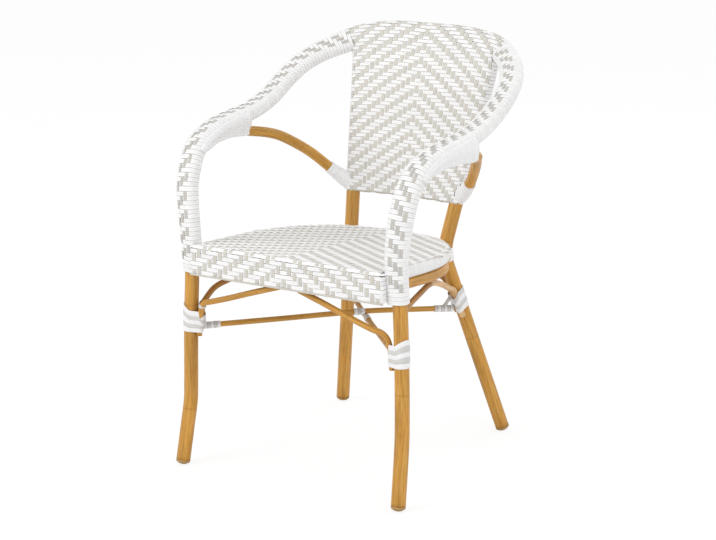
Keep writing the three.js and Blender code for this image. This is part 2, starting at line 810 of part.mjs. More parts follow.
function sideArch(side) {
  const [front, rear] = [legJoint(frontLegAt, side), legJoint(rearLegAt, side)];
  const from = tipAt(front, sideArchFrontTurn, sideArchFrontBase);
  const to = tipAt(rear, sideArchRearTurn, sideArchRearBase);
  const crown = sideArchShares.map(([along, rise]) => {
    const p = from.clone().lerp(to, along);
    p.x -= side * sideArchBow * 4 * along * (1 - along);
    p.z = mix(p.z, sideArchPeak, rise);
    return p;
  });
  const frontTip = archTipShares.map((share) => tipAt(
    front, sideArchFrontTurn, mix(sideArchFrontBase, sideTipEnd, share),
  ));
  const rearTip = archTipShares.map((share) => tipAt(
    rear, sideArchRearTurn, mix(sideArchRearBase, archEndHeight, share),
  ));
  const path = [...frontTip.reverse(), from, ...crown, to, ...rearTip];
  return rod(new THREE.CatmullRomCurve3(path, false, 'centripetal'), archRadius, sideArchSteps, archSides);
}

// Crossed stretchers: one passes over the other in the middle
function stretcherPath(side) {
  const front = frontLegAt(stretcherHeight, -side);
  const rear = rearLegAt(stretcherHeight, side);
  const share = -front.x / (rear.x - front.x);
  const middle = front.clone().lerp(rear, share);
  middle.z += side * (stretcherRadius + clearance);
  const before = front.clone().lerp(middle, half);
  const after = middle.clone().lerp(rear, half);
  return new THREE.CatmullRomCurve3([front, before, middle, after, rear]);
}

function stretcher(side) {
  const body = rod(stretcherPath(side), stretcherRadius, stretcherSteps, rodSides);
  return cut(body, hoopPole(clearance), rearPole(side, clearance));
}

// Windings: one flat strip laid round a rod or a leg. The strip's places are printed with their least gap.
function stripBody(places, width) {
  const rings = places.map(({ middle, outward, along }) => [
    [1, 1], [-1, 1], [-1, -1], [1, -1],
  ].map(([a, b]) => middle.clone()
    .addScaledVector(along, (a * width) / 2)
    .addScaledVector(outward, (b * stripThickness) / 2)));
  return { body: skin(rings), rings };
}

function leastGap(rings, loopSteps) {
  let least = Infinity;
  for (let i = 0; i < rings.length; i += 1) {
    for (let j = i + Math.floor(loopSteps * 0.75); j < rings.length; j += 1) {
      for (const a of rings[i]) {
        for (const b of rings[j]) {
          least = Math.min(least, a.distanceTo(b));
        }
      }
    }
  }
  return least;
}

// Both ends of a strip run on straight for its own thickness
function straightEnds(places) {
  const [first, second] = places;
  const [last, before] = [places[places.length - 1], places[places.length - 2]];
  const lead = first.middle.clone().sub(second.middle).setLength(stripThickness).add(first.middle);
  const tail = last.middle.clone().sub(before.middle).setLength(stripThickness).add(last.middle);
  return [{ ...first, middle: lead }, ...places, { ...last, middle: tail }];
}

// The strip passes below the stretcher once, climbs the leg over the arch tips and leans down towards them
function legBinding(legAt, side, tips, legTurns) {
  const joint = legJoint(legAt, side);
  const other = legAt === frontLegAt ? rearLegAt : frontLegAt;
  const away = other(stretcherHeight, -side).sub(joint.low).normalize();
  const start = Math.atan2(away.dot(joint.backward), away.dot(joint.inward));
  const offStretcher = stretcherRadius + archSeatGap * 2 + legStripWidth / 2;
  const spread = (poleRadius + windingGap) / Math.cos(Math.PI / legLoopSteps) + stripThickness / 2;
  const towardTips = THREE.MathUtils.degToRad((tips[0].turn + tips[1].turn) / 2);
  const level = -spread * (joint.inward.z * Math.cos(start) + joint.backward.z * Math.sin(start));
  const places = [];
  for (let k = 0; k <= legTurns * legLoopSteps; k += 1) {
    const turn = k / legLoopSteps;
    const angle = start + 2 * Math.PI * turn;
    const passing = mix(-offStretcher, offStretcher, turn);
    const steady = turn < 1 ? passing : offStretcher + (turn - 1) * legStripPitch;
    const climb = level + steady - legStripLean * Math.max(0, turn - 1) * Math.cos(angle - towardTips);
    const outward = joint.inward.clone().multiplyScalar(Math.cos(angle));
    outward.addScaledVector(joint.backward, Math.sin(angle));
    let [reach, middle] = [spread, outward.clone().multiplyScalar(spread)];
    for (const tip of tips) {
      const offset = tipOffset(joint, tip.turn);
      const round = (archRadius + archSeatGap) / Math.cos(Math.PI / legLoopSteps) + stripThickness / 2;
      const support = offset.dot(outward) + round;
      if (joint.low.z + climb + legStripWidth > tip.end && support > reach) {
        reach = support;
        middle = offset.clone().addScaledVector(outward, round);
      }
    }
    middle.add(joint.low).addScaledVector(joint.axis, climb / joint.axis.z);
    places.push({ middle, outward, along: joint.axis });
  }
  return stripBody(straightEnds(places), legStripWidth);
}

function rodWinding(path, from, turns, radius, hand) {
  const length = path.getLength();
  const places = [];
  const spread = (radius + clearance) / Math.cos(Math.PI / rodLoopSteps) + stripThickness / 2;
  for (let k = 0; k <= turns * rodLoopSteps; k += 1) {
    const turn = k / rodLoopSteps;
    const u = (from + stretcherStripWidth / 2 + turn * stretcherStripPitch) / length;
    const along = path.getTangentAt(u);
    const across = along.clone().cross(up).normalize();
    const upward = across.clone().cross(along);
    const angle = 2 * Math.PI * turn * hand;
    const outward = across.multiplyScalar(Math.cos(angle)).addScaledVector(upward, Math.sin(angle));
    places.push({ middle: path.getPointAt(u).addScaledVector(outward, spread), outward, along });
  }
  return stripBody(straightEnds(places), stretcherStripWidth);
}

function kneeWrap(side) {
  const path = rearPath(side);
  const middle = rearKneeHeight - kneeWrapDrop;
  const from = whereOn(path, 0, 1, (p) => p.z - (middle - kneeWrapHeight / 2));
  const to = whereOn(path, 0, 1, (p) => p.z - (middle + kneeWrapHeight / 2));
  const ring = rod(new Stretch(path, from, to), poleRadius + wrapThickness + clearance, kneeWrapSteps);
  return cut(ring, rearPole(side, clearance), sideRail(side, clearance), rearRail(clearance));
}

// The chair as a group of named pieces
const chair = new THREE.Group();

function add(name, geometry, material) {
  const mesh = new THREE.Mesh(geometry, material);
  mesh.name = name;
  chair.add(mesh);
}

function addWinding(name, winding, loopSteps, material) {
  console.log(`${name}: least gap between loops ${leastGap(winding.rings, loopSteps).toFixed(2)} mm`);
  add(name, winding.body, material);
}

add('hoop_pole', cut(
  hoopPole(),
  stem(frontFoot, sides.right, clearance),
  stem(frontFoot, sides.left, clearance),
), bamboo);
add('back_weave', backWeave(), weave);
add('seat_weave', seatWeave(), weave);
add('seat_rim', seatRim(), bamboo);
add('front_rail', cut(frontRail(), sleeveSpace(sides.right), sleeveSpace(sides.left)), bamboo);
add('rear_rail', cut(
  rearRail(),
  rearPole(sides.right, clearance),
  rearPole(sides.left, clearance),
), bamboo);
add('front_arch', frontArch(), bamboo);
add('rear_arch', rearArch(), darkBamboo);

for (const [word, side] of Object.entries(sides)) {
  const frontTips = [
    { turn: frontArchTurn, end: archEndHeight }, { turn: sideArchFrontTurn, end: sideTipEnd },
  ];
  const rearTips = [
    { turn: rearArchTurn, end: archEndHeight }, { turn: sideArchRearTurn, end: archEndHeight },
  ];
  add(`rear_leg_${word}`, cut(rearPole(side), hoopPole(clearance), stem(rearFoot, side, clearance)), bamboo);
  add(`arm_sleeve_${word}`, armSleeve(side), weave);
  add(`side_rail_${word}`, cut(
    sideRail(side),
    sleeveSpace(side),
    frontRail(clearance),
    rearRail(clearance),
    rearPole(side, clearance),
  ), bamboo);
  add(`arm_brace_${word}`, armBrace(side), bamboo);
  add(`saddle_wrap_${word}`, saddleWrap(side), whiteWrap);
  add(`brace_wrap_${word}`, braceWrap(side), whiteWrap);
  add(`side_arch_${word}`, sideArch(side), darkBamboo);
  add(`cross_stretcher_${word}`, stretcher(side), bamboo);
  add(`knee_wrap_${word}`, kneeWrap(side), whiteWrap);
  add(`front_glide_${word}`, glide(frontFoot, side), glideTan);
  add(`rear_glide_${word}`, glide(rearFoot, side), glideTan);
  const frontBinding = legBinding(frontLegAt, side, frontTips, frontLegTurns);
  const rearBinding = legBinding(rearLegAt, side, rearTips, rearLegTurns);
  addWinding(`front_leg_binding_${word}`, frontBinding, legLoopSteps, binding);
  addWinding(`rear_leg_binding_${word}`, rearBinding, legLoopSteps, binding);

  const path = stretcherPath(side);
  const length = path.getLength();
  const wrapLength = stretcherTurns * stretcherStripPitch + stretcherStripWidth;
  const front = rodWinding(path, stretcherWrapStart, stretcherTurns, stretcherRadius, side);
  const rearStart = length - stretcherWrapStart - wrapLength;
  const rear = rodWinding(path, rearStart, stretcherTurns, stretcherRadius, side);
  addWinding(`front_stretcher_wrap_${word}`, front, rodLoopSteps, binding);
  addWinding(`rear_stretcher_wrap_${word}`, rear, rodLoopSteps, binding);
  const crossing = length * whereOn(path, 0, 1, (p) => p.x * side);
  const crossLength = crossTurns * stretcherStripPitch + stretcherStripWidth;
  const beside = crossing - crossLength - stretcherDiameter;
  const knot = rodWinding(path, beside, crossTurns, stretcherRadius, side);
  addWinding(`cross_binding_${word}`, knot, rodLoopSteps, binding);
}

// The origin is on the floor in the middle of the chair's length and width
const box = new THREE.Box3().setFromObject(chair);
chair.position.set(-(box.min.x + box.max.x) / 2, -(box.min.y + box.max.y) / 2, 0);
chair.updateMatrixWorld(true);

export default chair;
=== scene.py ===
import math

import bmesh
import bpy
import numpy as np
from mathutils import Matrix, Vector


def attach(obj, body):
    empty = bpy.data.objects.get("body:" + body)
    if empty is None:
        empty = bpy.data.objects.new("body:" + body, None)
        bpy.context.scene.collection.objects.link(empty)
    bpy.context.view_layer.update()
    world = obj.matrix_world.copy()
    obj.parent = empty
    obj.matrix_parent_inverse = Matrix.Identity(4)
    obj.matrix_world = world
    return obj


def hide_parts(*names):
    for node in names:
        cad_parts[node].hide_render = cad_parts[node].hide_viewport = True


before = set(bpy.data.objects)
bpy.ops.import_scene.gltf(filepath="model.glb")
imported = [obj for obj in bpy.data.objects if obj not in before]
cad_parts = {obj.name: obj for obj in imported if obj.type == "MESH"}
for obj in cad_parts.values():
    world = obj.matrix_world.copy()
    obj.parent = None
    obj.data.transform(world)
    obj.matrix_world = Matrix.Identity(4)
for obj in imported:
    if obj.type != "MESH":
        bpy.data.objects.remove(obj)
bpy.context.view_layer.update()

# ---- Camera
# It stands where the photograph was taken, to the right of the front and a little above the seat,
# with a long lens that keeps the legs nearly upright.
turned, raised = math.radians(31.586), math.radians(14.393)
backwards = Vector((
    math.sin(turned) * math.cos(raised),
    -math.cos(turned) * math.cos(raised),
    math.sin(raised),
))
camera = bpy.data.objects.new("camera", bpy.data.cameras.new("camera"))
camera.data.sensor_width = 36
camera.data.lens = 101.64
camera.data.clip_end = 60
camera.location = (2.03145, -3.31805, 1.36779)
camera.rotation_euler = (-backwards).to_track_quat("-Z", "Y").to_euler()
bpy.context.scene.collection.objects.link(camera)
bpy.context.scene.camera = camera


# ---- Studio
# A pale floor that runs out to a white backdrop, three wide soft lamps and an even sky. Floor and sky look
# white to the camera, and the chair is lit at a plain level.
def add(tree, kind, inputs=(), **settings):
    made = tree.nodes.new("ShaderNode" + kind)
    for key, value in settings.items():
        setattr(made, key, value)
    for key, value in dict(inputs).items():
        if isinstance(value, bpy.types.NodeSocket):
            tree.links.new(value, made.inputs[key])
        else:
            made.inputs[key].default_value = value
    return made


def calc(tree, operation, a, b=0.0):
    return add(tree, "Math", {0: a, 1: b}, operation=operation).outputs[0]


def ranged(tree, value, low, high, start=0.0, end=1.0):
    # What goes from start to end comes out going from low to high
    return add(tree, "MapRange", {
        "Value": value, "From Min": start, "From Max": end, "To Min": low, "To Max": high,
    }).outputs[0]


def new_paint(name):
    paint = bpy.data.materials.new(name)
    paint.use_nodes = True
    return paint, paint.node_tree, paint.node_tree.nodes["Principled BSDF"]


scene = bpy.context.scene
scene.view_settings.view_transform = "Standard"
sky = bpy.data.worlds.new("sky")
scene.world = sky
sky.use_nodes = True
sky_tree = sky.node_tree
rays = add(sky_tree, "LightPath")
seen = calc(sky_tree, "MAXIMUM", rays.outputs["Is Camera Ray"], rays.outputs["Is Glossy Ray"])
seen = calc(sky_tree, "MAXIMUM", seen, rays.outputs["Is Transmission Ray"])
sky_tree.links.new(ranged(sky_tree, seen, 0.8, 1.0), sky_tree.nodes["Background"].inputs["Strength"])
sky_tree.nodes["Background"].inputs["Color"].default_value = (1, 1, 1, 1)

floor_shell = bmesh.new()
bmesh.ops.create_circle(floor_shell, cap_ends=True, segments=64, radius=9)
floor_mesh = bpy.data.meshes.new("floor")
floor_shell.to_mesh(floor_mesh)
floor = bpy.data.objects.new("floor", floor_mesh)
scene.collection.objects.link(floor)
floor_paint, floor_tree, floor_body = new_paint("floor_paint")
floor_body.inputs["Base Color"].default_value = (0.86, 0.86, 0.86, 1)
floor_body.inputs["Roughness"].default_value = 0.9
floor_body.inputs["Specular IOR Level"].default_value = 0.1
floor_rays = add(floor_tree, "LightPath")
paleness = calc(floor_tree, "MULTIPLY", floor_rays.outputs["Is Camera Ray"], 0.8)
pale = add(floor_tree, "Emission", {"Color": (1, 1, 1, 1), "Strength": 1.05})
floor_mix = add(floor_tree, "MixShader", {0: paleness, 1: floor_body.outputs[0], 2: pale.outputs[0]})
floor_tree.links.new(floor_mix.outputs[0], floor_tree.nodes["Material Output"].inputs["Surface"])
floor_mesh.materials.append(floor_paint)

for lamp_name, lamp_place, lamp_power, lamp_size in (
    ("key_lamp", (-2.2, -3.4, 3.0), 70, 2.4),
    ("fill_lamp", (3.2, -1.6, 2.2), 24, 2.6),
    ("rear_lamp", (0.6, 2.8, 2.6), 20, 2.4),
):
    lamp = bpy.data.objects.new(lamp_name, bpy.data.lights.new(lamp_name, "AREA"))
    lamp.data.energy = lamp_power
    lamp.data.size = lamp_size
    lamp.location = lamp_place
    lamp.rotation_euler = (Vector((0, 0, 0.45)) - Vector(lamp_place)).to_track_quat("-Z", "Y").to_euler()
    scene.collection.objects.link(lamp)


# ---- The bent pole
# One peeled cane that makes both front legs, both arms and the top of the back, varnished golden brown.
# Steamed and bent over a jig. Lengths are in millimetres from a point 15.77 in front of the chair's middle.
middle = np.array([0.0, 15.77, 0.0])


def unit(v):
    return v / np.maximum(np.linalg.norm(v, axis=-1, keepdims=True), 1e-9)


def bent(points, fine=16):
    p = np.asarray(points, float)
    ends = np.vstack([2 * p[0] - p[1], p, 2 * p[-1] - p[-2]])
    parts = []
    for a, b, c, d in zip(ends, ends[1:], ends[2:], ends[3:]):
        g, h, k = (math.sqrt(np.linalg.norm(q - r)) for q, r in ((b, a), (c, b), (d, c)))
        leave = ((b - a) / g - (c - a) / (g + h) + (c - b) / h) * h
        arrive = ((c - b) / h - (d - b) / (h + k) + (d - c) / k) * h
        t = np.linspace(0, 1, fine, endpoint=False)[:, None]
        parts.append(
            b * (2 * t**3 - 3 * t**2 + 1) + leave * (t**3 - 2 * t**2 + t)
            + c * (3 * t**2 - 2 * t**3) + arrive * (t**3 - t**2)
        )
    return np.vstack([*parts, p[-1:]])


def reach(line):
    return np.concatenate([[0], np.cumsum(np.linalg.norm(np.diff(line, axis=0), axis=1))])


def on_line(line, lengths):
    s = reach(line)
    return np.stack([np.interp(lengths, s, line[:, k]) for k in range(line.shape[1])], axis=-1)


def evenly(line, step):
    whole = reach(line)[-1]
    return on_line(line, np.linspace(0, whole, max(2, round(whole / step)) + 1))


def headings(line):
    return unit(np.gradient(line, axis=0))


def ringed(line, across, other, wide, tall, count):
    # An oval at each place of a line, reaching wide one way and tall the other
    angle = np.arange(count) * 2 * math.pi / count
    across, other = (np.broadcast_to(way, line.shape)[:, None] for way in (across, other))
    wide, tall = (np.broadcast_to(size, (len(line),))[:, None] for size in (wide, tall))
    return line[:, None] + across * (wide * np.cos(angle))[..., None] + other * (tall * np.sin(angle))[..., None]


def round_rings(line, radius, count=20):
    heading = headings(line)
    side = np.empty_like(line)
    side[0] = unit(np.cross(heading[0], (0.13, 0.21, 1) if abs(heading[0][2]) < 0.9 else (0, 1, 0.1)))
    for k in range(1, len(line)):
        side[k] = unit(side[k - 1] - heading[k] * (side[k - 1] @ heading[k]))
    return ringed(line, side, np.cross(heading, side), radius, radius, count)


def piece(name, stacks, material, nodes, smooth_ends=False):
    # Each stack of rings is a grid rolled into a tube. UV: metres along, then the tube's number plus the way round.
    shell = bmesh.new()
    for rings in stacks:
        bmesh.ops.create_grid(shell, x_segments=rings.shape[1], y_segments=len(rings) - 1, size=0.5)
    mesh = bpy.data.meshes.new(name)
    shell.to_mesh(mesh)
    places = np.concatenate([np.concatenate([r, r[:, :1]], axis=1).reshape(-1, 3) for r in stacks])
    mesh.vertices.foreach_set("co", ((places - middle) / 1000).ravel())
    marks = []
    for number, rings in enumerate(stacks):
        along = reach(rings.mean(axis=1)) / 1000
        way = number + 0.9999 * np.arange(rings.shape[1] + 1) / rings.shape[1]
        marks.append(np.stack(np.meshgrid(along, way, indexing="ij"), axis=2).reshape(-1, 2))
    marks = np.concatenate(marks)
    corners = np.empty(len(mesh.loops), int)
    mesh.loops.foreach_get("vertex_index", corners)
    lay = mesh.uv_layers.new(name="lay")
    lay.data.foreach_set("uv", marks[corners].ravel())
    shell.clear()
    shell.from_mesh(mesh)
    bmesh.ops.remove_doubles(shell, verts=shell.verts, dist=1e-6)
    rims = [edge for edge in shell.edges if edge.is_boundary]
    if rims:
        bmesh.ops.holes_fill(shell, edges=rims, sides=0)
    bmesh.ops.recalc_face_normals(shell, faces=shell.faces)
    for face in shell.faces:
        face.smooth = smooth_ends or len(face.verts) == 4
    shell.to_mesh(mesh)
    shell.free()
    mesh.materials.append(material)
    made = bpy.data.objects.new(name, mesh)
    scene.collection.objects.link(made)
    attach(made, "root")
    if nodes:
        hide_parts(*nodes)


def lay_marks(tree):
    place = add(tree, "UVMap", uv_map="lay")
    parts = add(tree, "SeparateXYZ", {0: place.outputs["UV"]})
    number = calc(tree, "FLOOR", parts.outputs["Y"])
    way = calc(tree, "SUBTRACT", parts.outputs["Y"], number)
    return parts.outputs["X"], number, way


def blended(tree, share, under, over):
    mixed = add(tree, "Mix", data_type="RGBA")
    colour_in = [socket for socket in mixed.inputs if socket.type == "RGBA"]
    tree.links.new(share, mixed.inputs[0])
    tree.links.new(under, colour_in[0])
    colour_in[1].default_value = (*over, 1)
    return [socket for socket in mixed.outputs if socket.type == "RGBA"][0]


def scaled(tree, colour, share):
    return add(tree, "VectorMath", {0: colour, "Scale": share}, operation="SCALE").outputs[0]


def noise(tree, where, scale, detail, roughness=0.5):
    return add(tree, "TexNoise", {
        "Vector": where, "Scale": scale, "Detail": detail, "Roughness": roughness,
    }).outputs["Fac"]


def surface(tree, body, colour, rough, heights, strength, depth, gloss):
    relief = add(tree, "Bump", {"Strength": strength, "Distance": depth, "Height": heights})
    for key, socket in (("Base Color", colour), ("Roughness", rough), ("Normal", relief.outputs[0])):
        tree.links.new(socket, body.inputs[key])
    body.inputs["Specular IOR Level"].default_value = gloss


def cane_varnish(name, pale_tone, mid_tone, dark_tone):
    # Golden varnish over long fibres, with a faint ring where each joint of the cane was scraped flat
    material, tree, body = new_paint(name)
    along, number, way = lay_marks(tree)
    turn = calc(tree, "MULTIPLY", way, 2 * math.pi)
    shifted = calc(tree, "ADD", along, calc(tree, "MULTIPLY", number, 2.7))
    around = {"Y": calc(tree, "COSINE", turn), "Z": calc(tree, "SINE", turn)}
    long_place, broad_place = (
        add(tree, "CombineXYZ", {"X": calc(tree, "MULTIPLY", shifted, pace), **around}).outputs[0]
        for pace in (3.2, 9.0))
    fibre = noise(tree, long_place, 6.0, 5.0, 0.62)
    tones = add(tree, "ValToRGB", {0: fibre})
    stops = tones.color_ramp.elements
    stops.new(0.46)
    for stop, position, tone in zip(stops, (0.3, 0.46, 0.68), (dark_tone, mid_tone, pale_tone)):
        stop.position, stop.color = position, (*tone, 1)
    shade = ranged(tree, noise(tree, broad_place, 0.9, 2.0), 0.78, 1.12, 0.3, 0.7)
    pace = calc(tree, "FRACT", calc(tree, "DIVIDE", shifted, 0.213))
    ring = ranged(tree, calc(tree, "ABSOLUTE", calc(tree, "SUBTRACT", pace, 0.5)), 0.0, 0.45, 0.488, 0.497)
    heights = calc(tree, "SUBTRACT", fibre, calc(tree, "MULTIPLY", ring, 1.2))
    colour = blended(tree, ring, scaled(tree, tones.outputs["Color"], shade), dark_tone)
    surface(tree, body, colour, ranged(tree, fibre, 0.5, 0.34), heights, 0.35, 0.0006, 0.35)
    body.inputs["Coat Weight"].default_value = 0.1
    body.inputs["Coat Roughness"].default_value = 0.3
    return material


golden_cane = cane_varnish("golden_cane", (0.66, 0.365, 0.085), (0.53, 0.255, 0.036), (0.36, 0.15, 0.018))
# A darker copy of the same varnish: painted shade for the arches that sit in shadow under the seat
shade_brown_cane = cane_varnish("shade_brown_cane", (0.52, 0.255, 0.055), (0.39, 0.17, 0.028), (0.2, 0.075, 0.012))


def cane_piece(node, line, radius, material=golden_cane, count=20, ending="cane"):
    piece(f"{node}_{ending}", [round_rings(line, radius, count)], material, [node])


pole_radius = 14
pole_rows = [
    # x, y, z, and where the broad face looks there: degrees outwards and degrees up
    (247.0, -257.3, 9.0, 15, 0), (243.9, -244.4, 78.2, 15, 0), (241.4, -235.4, 130.0, 15, 0),
    (240.9, -234.1, 165.1, 15, 0), (238.5, -233.1, 289.9, 15, 0), (233.7, -233.0, 398.8, 15, 0),
    (231.9, -239.1, 465.4, 15, 0), (235.0, -239.6, 518.8, 15, 2), (239.1, -234.6, 561.2, 15, 18),
    (244.2, -205.3, 619.0, 10, 44), (250.3, -150.6, 648.5, 5, 71), (255.7, -79.3, 660.6, 0, 82),
    (253.7, -3.5, 668.7, -5, 79), (252.4, 64.5, 687.7, -5, 69), (251.6, 122.0, 716.3, -6, 62),
    (242.9, 171.7, 743.4, -12, 58), (221.7, 214.8, 764.8, -24, 53), (189.7, 252.4, 781.7, -31.6, 39),
    (154.3, 273.5, 795.1, -19, 27), (87.2, 282.3, 805.6, -6, 20), (0.0, 285.0, 806.9, 0, 17.6),
]
right_rows = np.array(pole_rows)
left_rows = (right_rows[:-1] * (-1, 1, 1, -1, 1))[::-1]
all_rows = np.vstack([right_rows, left_rows])
pole_fine = 16
hoop_line = bent(all_rows[:, :3], pole_fine)
looks = np.stack([
    np.interp(np.arange(len(hoop_line)) / pole_fine, np.arange(len(all_rows)), np.radians(all_rows[:, k]))
    for k in (3, 4)
], axis=1)
hoop_reach = reach(hoop_line)
hoop_length = hoop_reach[-1]
hoop_heading = headings(hoop_line)
hoop_face = np.stack([
    np.sin(looks[:, 0]) * np.cos(looks[:, 1]),
    -np.cos(looks[:, 0]) * np.cos(looks[:, 1]),
    np.sin(looks[:, 1]),
], axis=1)
hoop_face = unit(hoop_face - hoop_heading * (hoop_face * hoop_heading).sum(1, keepdims=True))
hoop_across = np.cross(hoop_heading, hoop_face)


def on_hoop(lengths, values):
    return np.stack([np.interp(lengths, hoop_reach, values[:, k]) for k in range(3)], axis=-1)


piece("bent_pole", [round_rings(evenly(hoop_line, 9), pole_radius, 24)], golden_cane, ["hoop_pole"])

# ---- Rear legs
# Peeled canes of the same thickness, bent at the seat; above it they are the posts that carry the back.
# They stop just under the bent pole, where they are nailed and wrapped.
rear_foot, rear_knee, post_end = (np.array(p) for p in (
    (194.9, 256.2, 9.4), (109.6, 151.6, 391.0), (157.2, 270.2, 787.5),
))
sides = {"right": 1, "left": -1}


def mirrored(line, side):
    return np.asarray(line, float) * (side, 1, 1)


knee_bend = 30  # how far the bend reaches below and above the knee
below = rear_knee + unit(rear_foot - rear_knee) * knee_bend
above = rear_knee + unit(post_end - rear_knee) * knee_bend
t = np.linspace(0, 1, 12)[:, None]
rear_line = np.vstack([rear_foot, below * (1 - t) ** 2 + rear_knee * 2 * t * (1 - t) + above * t**2, post_end])


def rear_at(heights):
    return np.stack([np.interp(heights, rear_line[:, 2], rear_line[:, k]) for k in range(3)], axis=-1)


for word, side in sides.items():
    cane_piece(f"rear_leg_{word}", evenly(mirrored(rear_line, side), 9), pole_radius, count=24)


# ---- Foot glides
# Domed tan plastic, speckled and slightly rough, pressed into the cut end of each leg.
# The dome is tilted with its leg and flattened where it stands on the floor.
def speckled_plastic(name, tone):
    material, tree, body = new_paint(name)
    mottle = noise(tree, add(tree, "TexCoord").outputs["Object"], 220.0, 3.0)
    tones = add(tree, "ValToRGB", {0: mottle})
    for stop, share in zip(tones.color_ramp.elements, (0.72, 1.15)):
        stop.color = (*(share * t for t in tone), 1)
    surface(tree, body, tones.outputs["Color"], ranged(tree, mottle, 0.5, 0.72), mottle, 0.2, 0.0003, 0.5)
    return material


glide_tan = speckled_plastic("glide_tan", (0.45, 0.27, 0.1))
dome_radius, dome_rim = 19.33, 14
dome_angles = np.linspace(0.22, math.asin(dome_rim / dome_radius), 7)
front_foot = {"centre": (246.6, -255.5, 18.8), "seat": (247.0, -257.4, 8.7)}
hind_foot = {"centre": (192.9, 253.8, 18.8), "seat": (195.1, 256.5, 9.1)}
for place_word, foot in (("front", front_foot), ("rear", hind_foot)):
    for word, side in sides.items():
        centre = mirrored(foot["centre"], side)
        axis = unit(centre - mirrored(foot["seat"], side))
        drops, radii = dome_radius * np.cos(dome_angles), dome_radius * np.sin(dome_angles)
        drops = np.concatenate([drops[:1], drops, drops[-1] - (3.0, 3.6)])
        radii = np.concatenate([[0.2], radii, [dome_rim, dome_rim - 0.7]])
        across = unit(np.cross(axis, (0, 1, 0)))
        rings = ringed(centre - axis * drops[:, None], across, np.cross(axis, across), radii, radii, 28)
        rings[..., 2] = np.maximum(rings[..., 2], 0)
        piece(f"{place_word}_glide_{word}_dome", [rings], glide_tan, [f"{place_word}_glide_{word}"], True)

# ---- Rails and rim under the seat
# Thinner canes of the same varnish, nailed between the legs.
# A rod bent round inside the edge of the woven seat carries its strands.
rail_radius, rim_radius = 10.5, 9
front_rail_end = np.array([233.1, -234.1, 414.7])
rear_rail_end = rear_at(389.3) - (12, 0, 0)
for rail_name, rail_end in (("front_rail", front_rail_end), ("rear_rail", rear_rail_end)):
    cane_piece(rail_name, evenly(np.array([mirrored(rail_end, -1), rail_end]), 12), rail_radius)
side_rail_points = [
    (222.0, -222.0, 413.4), (206.5, -200.0, 411.8), (201.5, -187.3, 410.8), (201.5, -140.5, 406.9),
    (201.2, -93.7, 403.0), (197.5, -46.9, 399.0), (187.9, -0.1, 395.1), (173.4, 38.9, 391.8),
    (149.4, 77.9, 388.6), (117.5, 146.0, 383.2),
]
for word, side in sides.items():
    cane_piece(f"side_rail_{word}", evenly(bent(mirrored(side_rail_points, side)), 8), rail_radius)

# The seat's outline: half its width, how far it runs to the front and the rear, and where it is widest
seat_half, seat_front, seat_back, seat_widest = 213.0, 265.0, 153.0, 120.0
seat_slope, rear_power, front_power = 0.066, 2.4, 9.0


def seat_top(y):
    return 452.8 - seat_slope * (y + seat_front)


def signed_power(value, power):
    return np.sign(value) * np.abs(value) ** (2 / power)


def seat_outline(inset, drop, count=120):
    angle = 2 * math.pi * (np.arange(count) + 0.5) / count
    rear = np.sin(angle) > 0
    power = np.where(rear, rear_power, front_power)
    depth = np.where(rear, seat_back + seat_widest, seat_front - seat_widest) - inset
    x = (seat_half - inset) * signed_power(np.cos(angle), power)
    y = depth * signed_power(np.sin(angle), power) - seat_widest
    return np.stack([x, y, seat_top(y) - drop], axis=1)


def closed(rings):
    return np.concatenate([rings, rings[:1]])


def evenly_closed(loop, step):
    return evenly(closed(loop), step)[:-1]


def loop_headings(loop):
    return unit(np.roll(loop, -1, axis=0) - np.roll(loop, 1, axis=0))


rim_line = evenly_closed(seat_outline(11.5, 12.3), 8)
rim_out = unit(np.cross(loop_headings(rim_line), (0, 0, 1)))
rim_rings = ringed(rim_line, rim_out, np.cross(rim_out, loop_headings(rim_line)), rim_radius, rim_radius, 14)
piece("seat_rim_cane", [closed(rim_rings)], golden_cane, ["seat_rim"])

# ---- Arches and crossed stretchers
# Thin canes bent to peaks under the rails, with their tips bound to the legs, and two stretchers that cross
# below. The rear and side arches are painted darker as shade, and the side arches end painted pale at the rear as a
# highlight.
# A pale copy of the same varnish: painted highlight for the rear end of each side arch
highlight_sand_cane = cane_varnish("highlight_sand_cane", (0.8, 0.56, 0.31), (0.7, 0.43, 0.2), (0.5, 0.25, 0.09))
arch_radius, stretcher_radius = 5.75, 5.5
front_arch_half = [
    (0.0, -246.0, 398.1), (26.6, -246.1, 389.3), (84.2, -246.3, 370.7), (137.4, -246.5, 352.7),
    (186.1, -245.6, 337.6), (199.5, -241.5, 333.4), (208.5, -237.0, 323.5), (214.0, -234.8, 307.0),
    (217.2, -234.2, 290.0), (218.8, -234.0, 263.0),
]
rear_arch_half = [
    (0.0, 151.6, 372.8), (12.4, 154.9, 367.5), (39.2, 161.7, 356.3), (64.0, 168.4, 345.6), (86.7, 174.2, 336.2),
    (97.0, 174.9, 332.0), (107.2, 179.9, 314.7), (113.0, 186.9, 289.1), (119.5, 194.9, 259.9),
]
side_arch_points = [
    (222.2, -220.7, 281.6), (221.6, -220.5, 297.0), (221.1, -220.4, 310.6), (220.7, -220.3, 320.3),
    (217.0, -207.2, 336.7), (211.8, -188.5, 351.3), (201.9, -151.5, 360.5), (190.7, -108.2, 363.4),
    (178.8, -59.6, 365.4), (166.5, -8.0, 367.2), (159.0, 28.0, 362.0), (149.7, 73.8, 347.4), (140.4, 122.0, 327.0),
    (134.9, 152.0, 314.5), (137.8, 157.2, 300.1), (142.1, 162.5, 280.8), (147.0, 168.5, 258.8),
]
for arch_name, half_points, tone in (
    ("front_arch", front_arch_half, golden_cane), ("rear_arch", rear_arch_half, shade_brown_cane),
):
    whole = np.vstack([mirrored(half_points[:0:-1], -1), half_points])
    cane_piece(arch_name, evenly(bent(whole), 5), arch_radius, tone, 16)
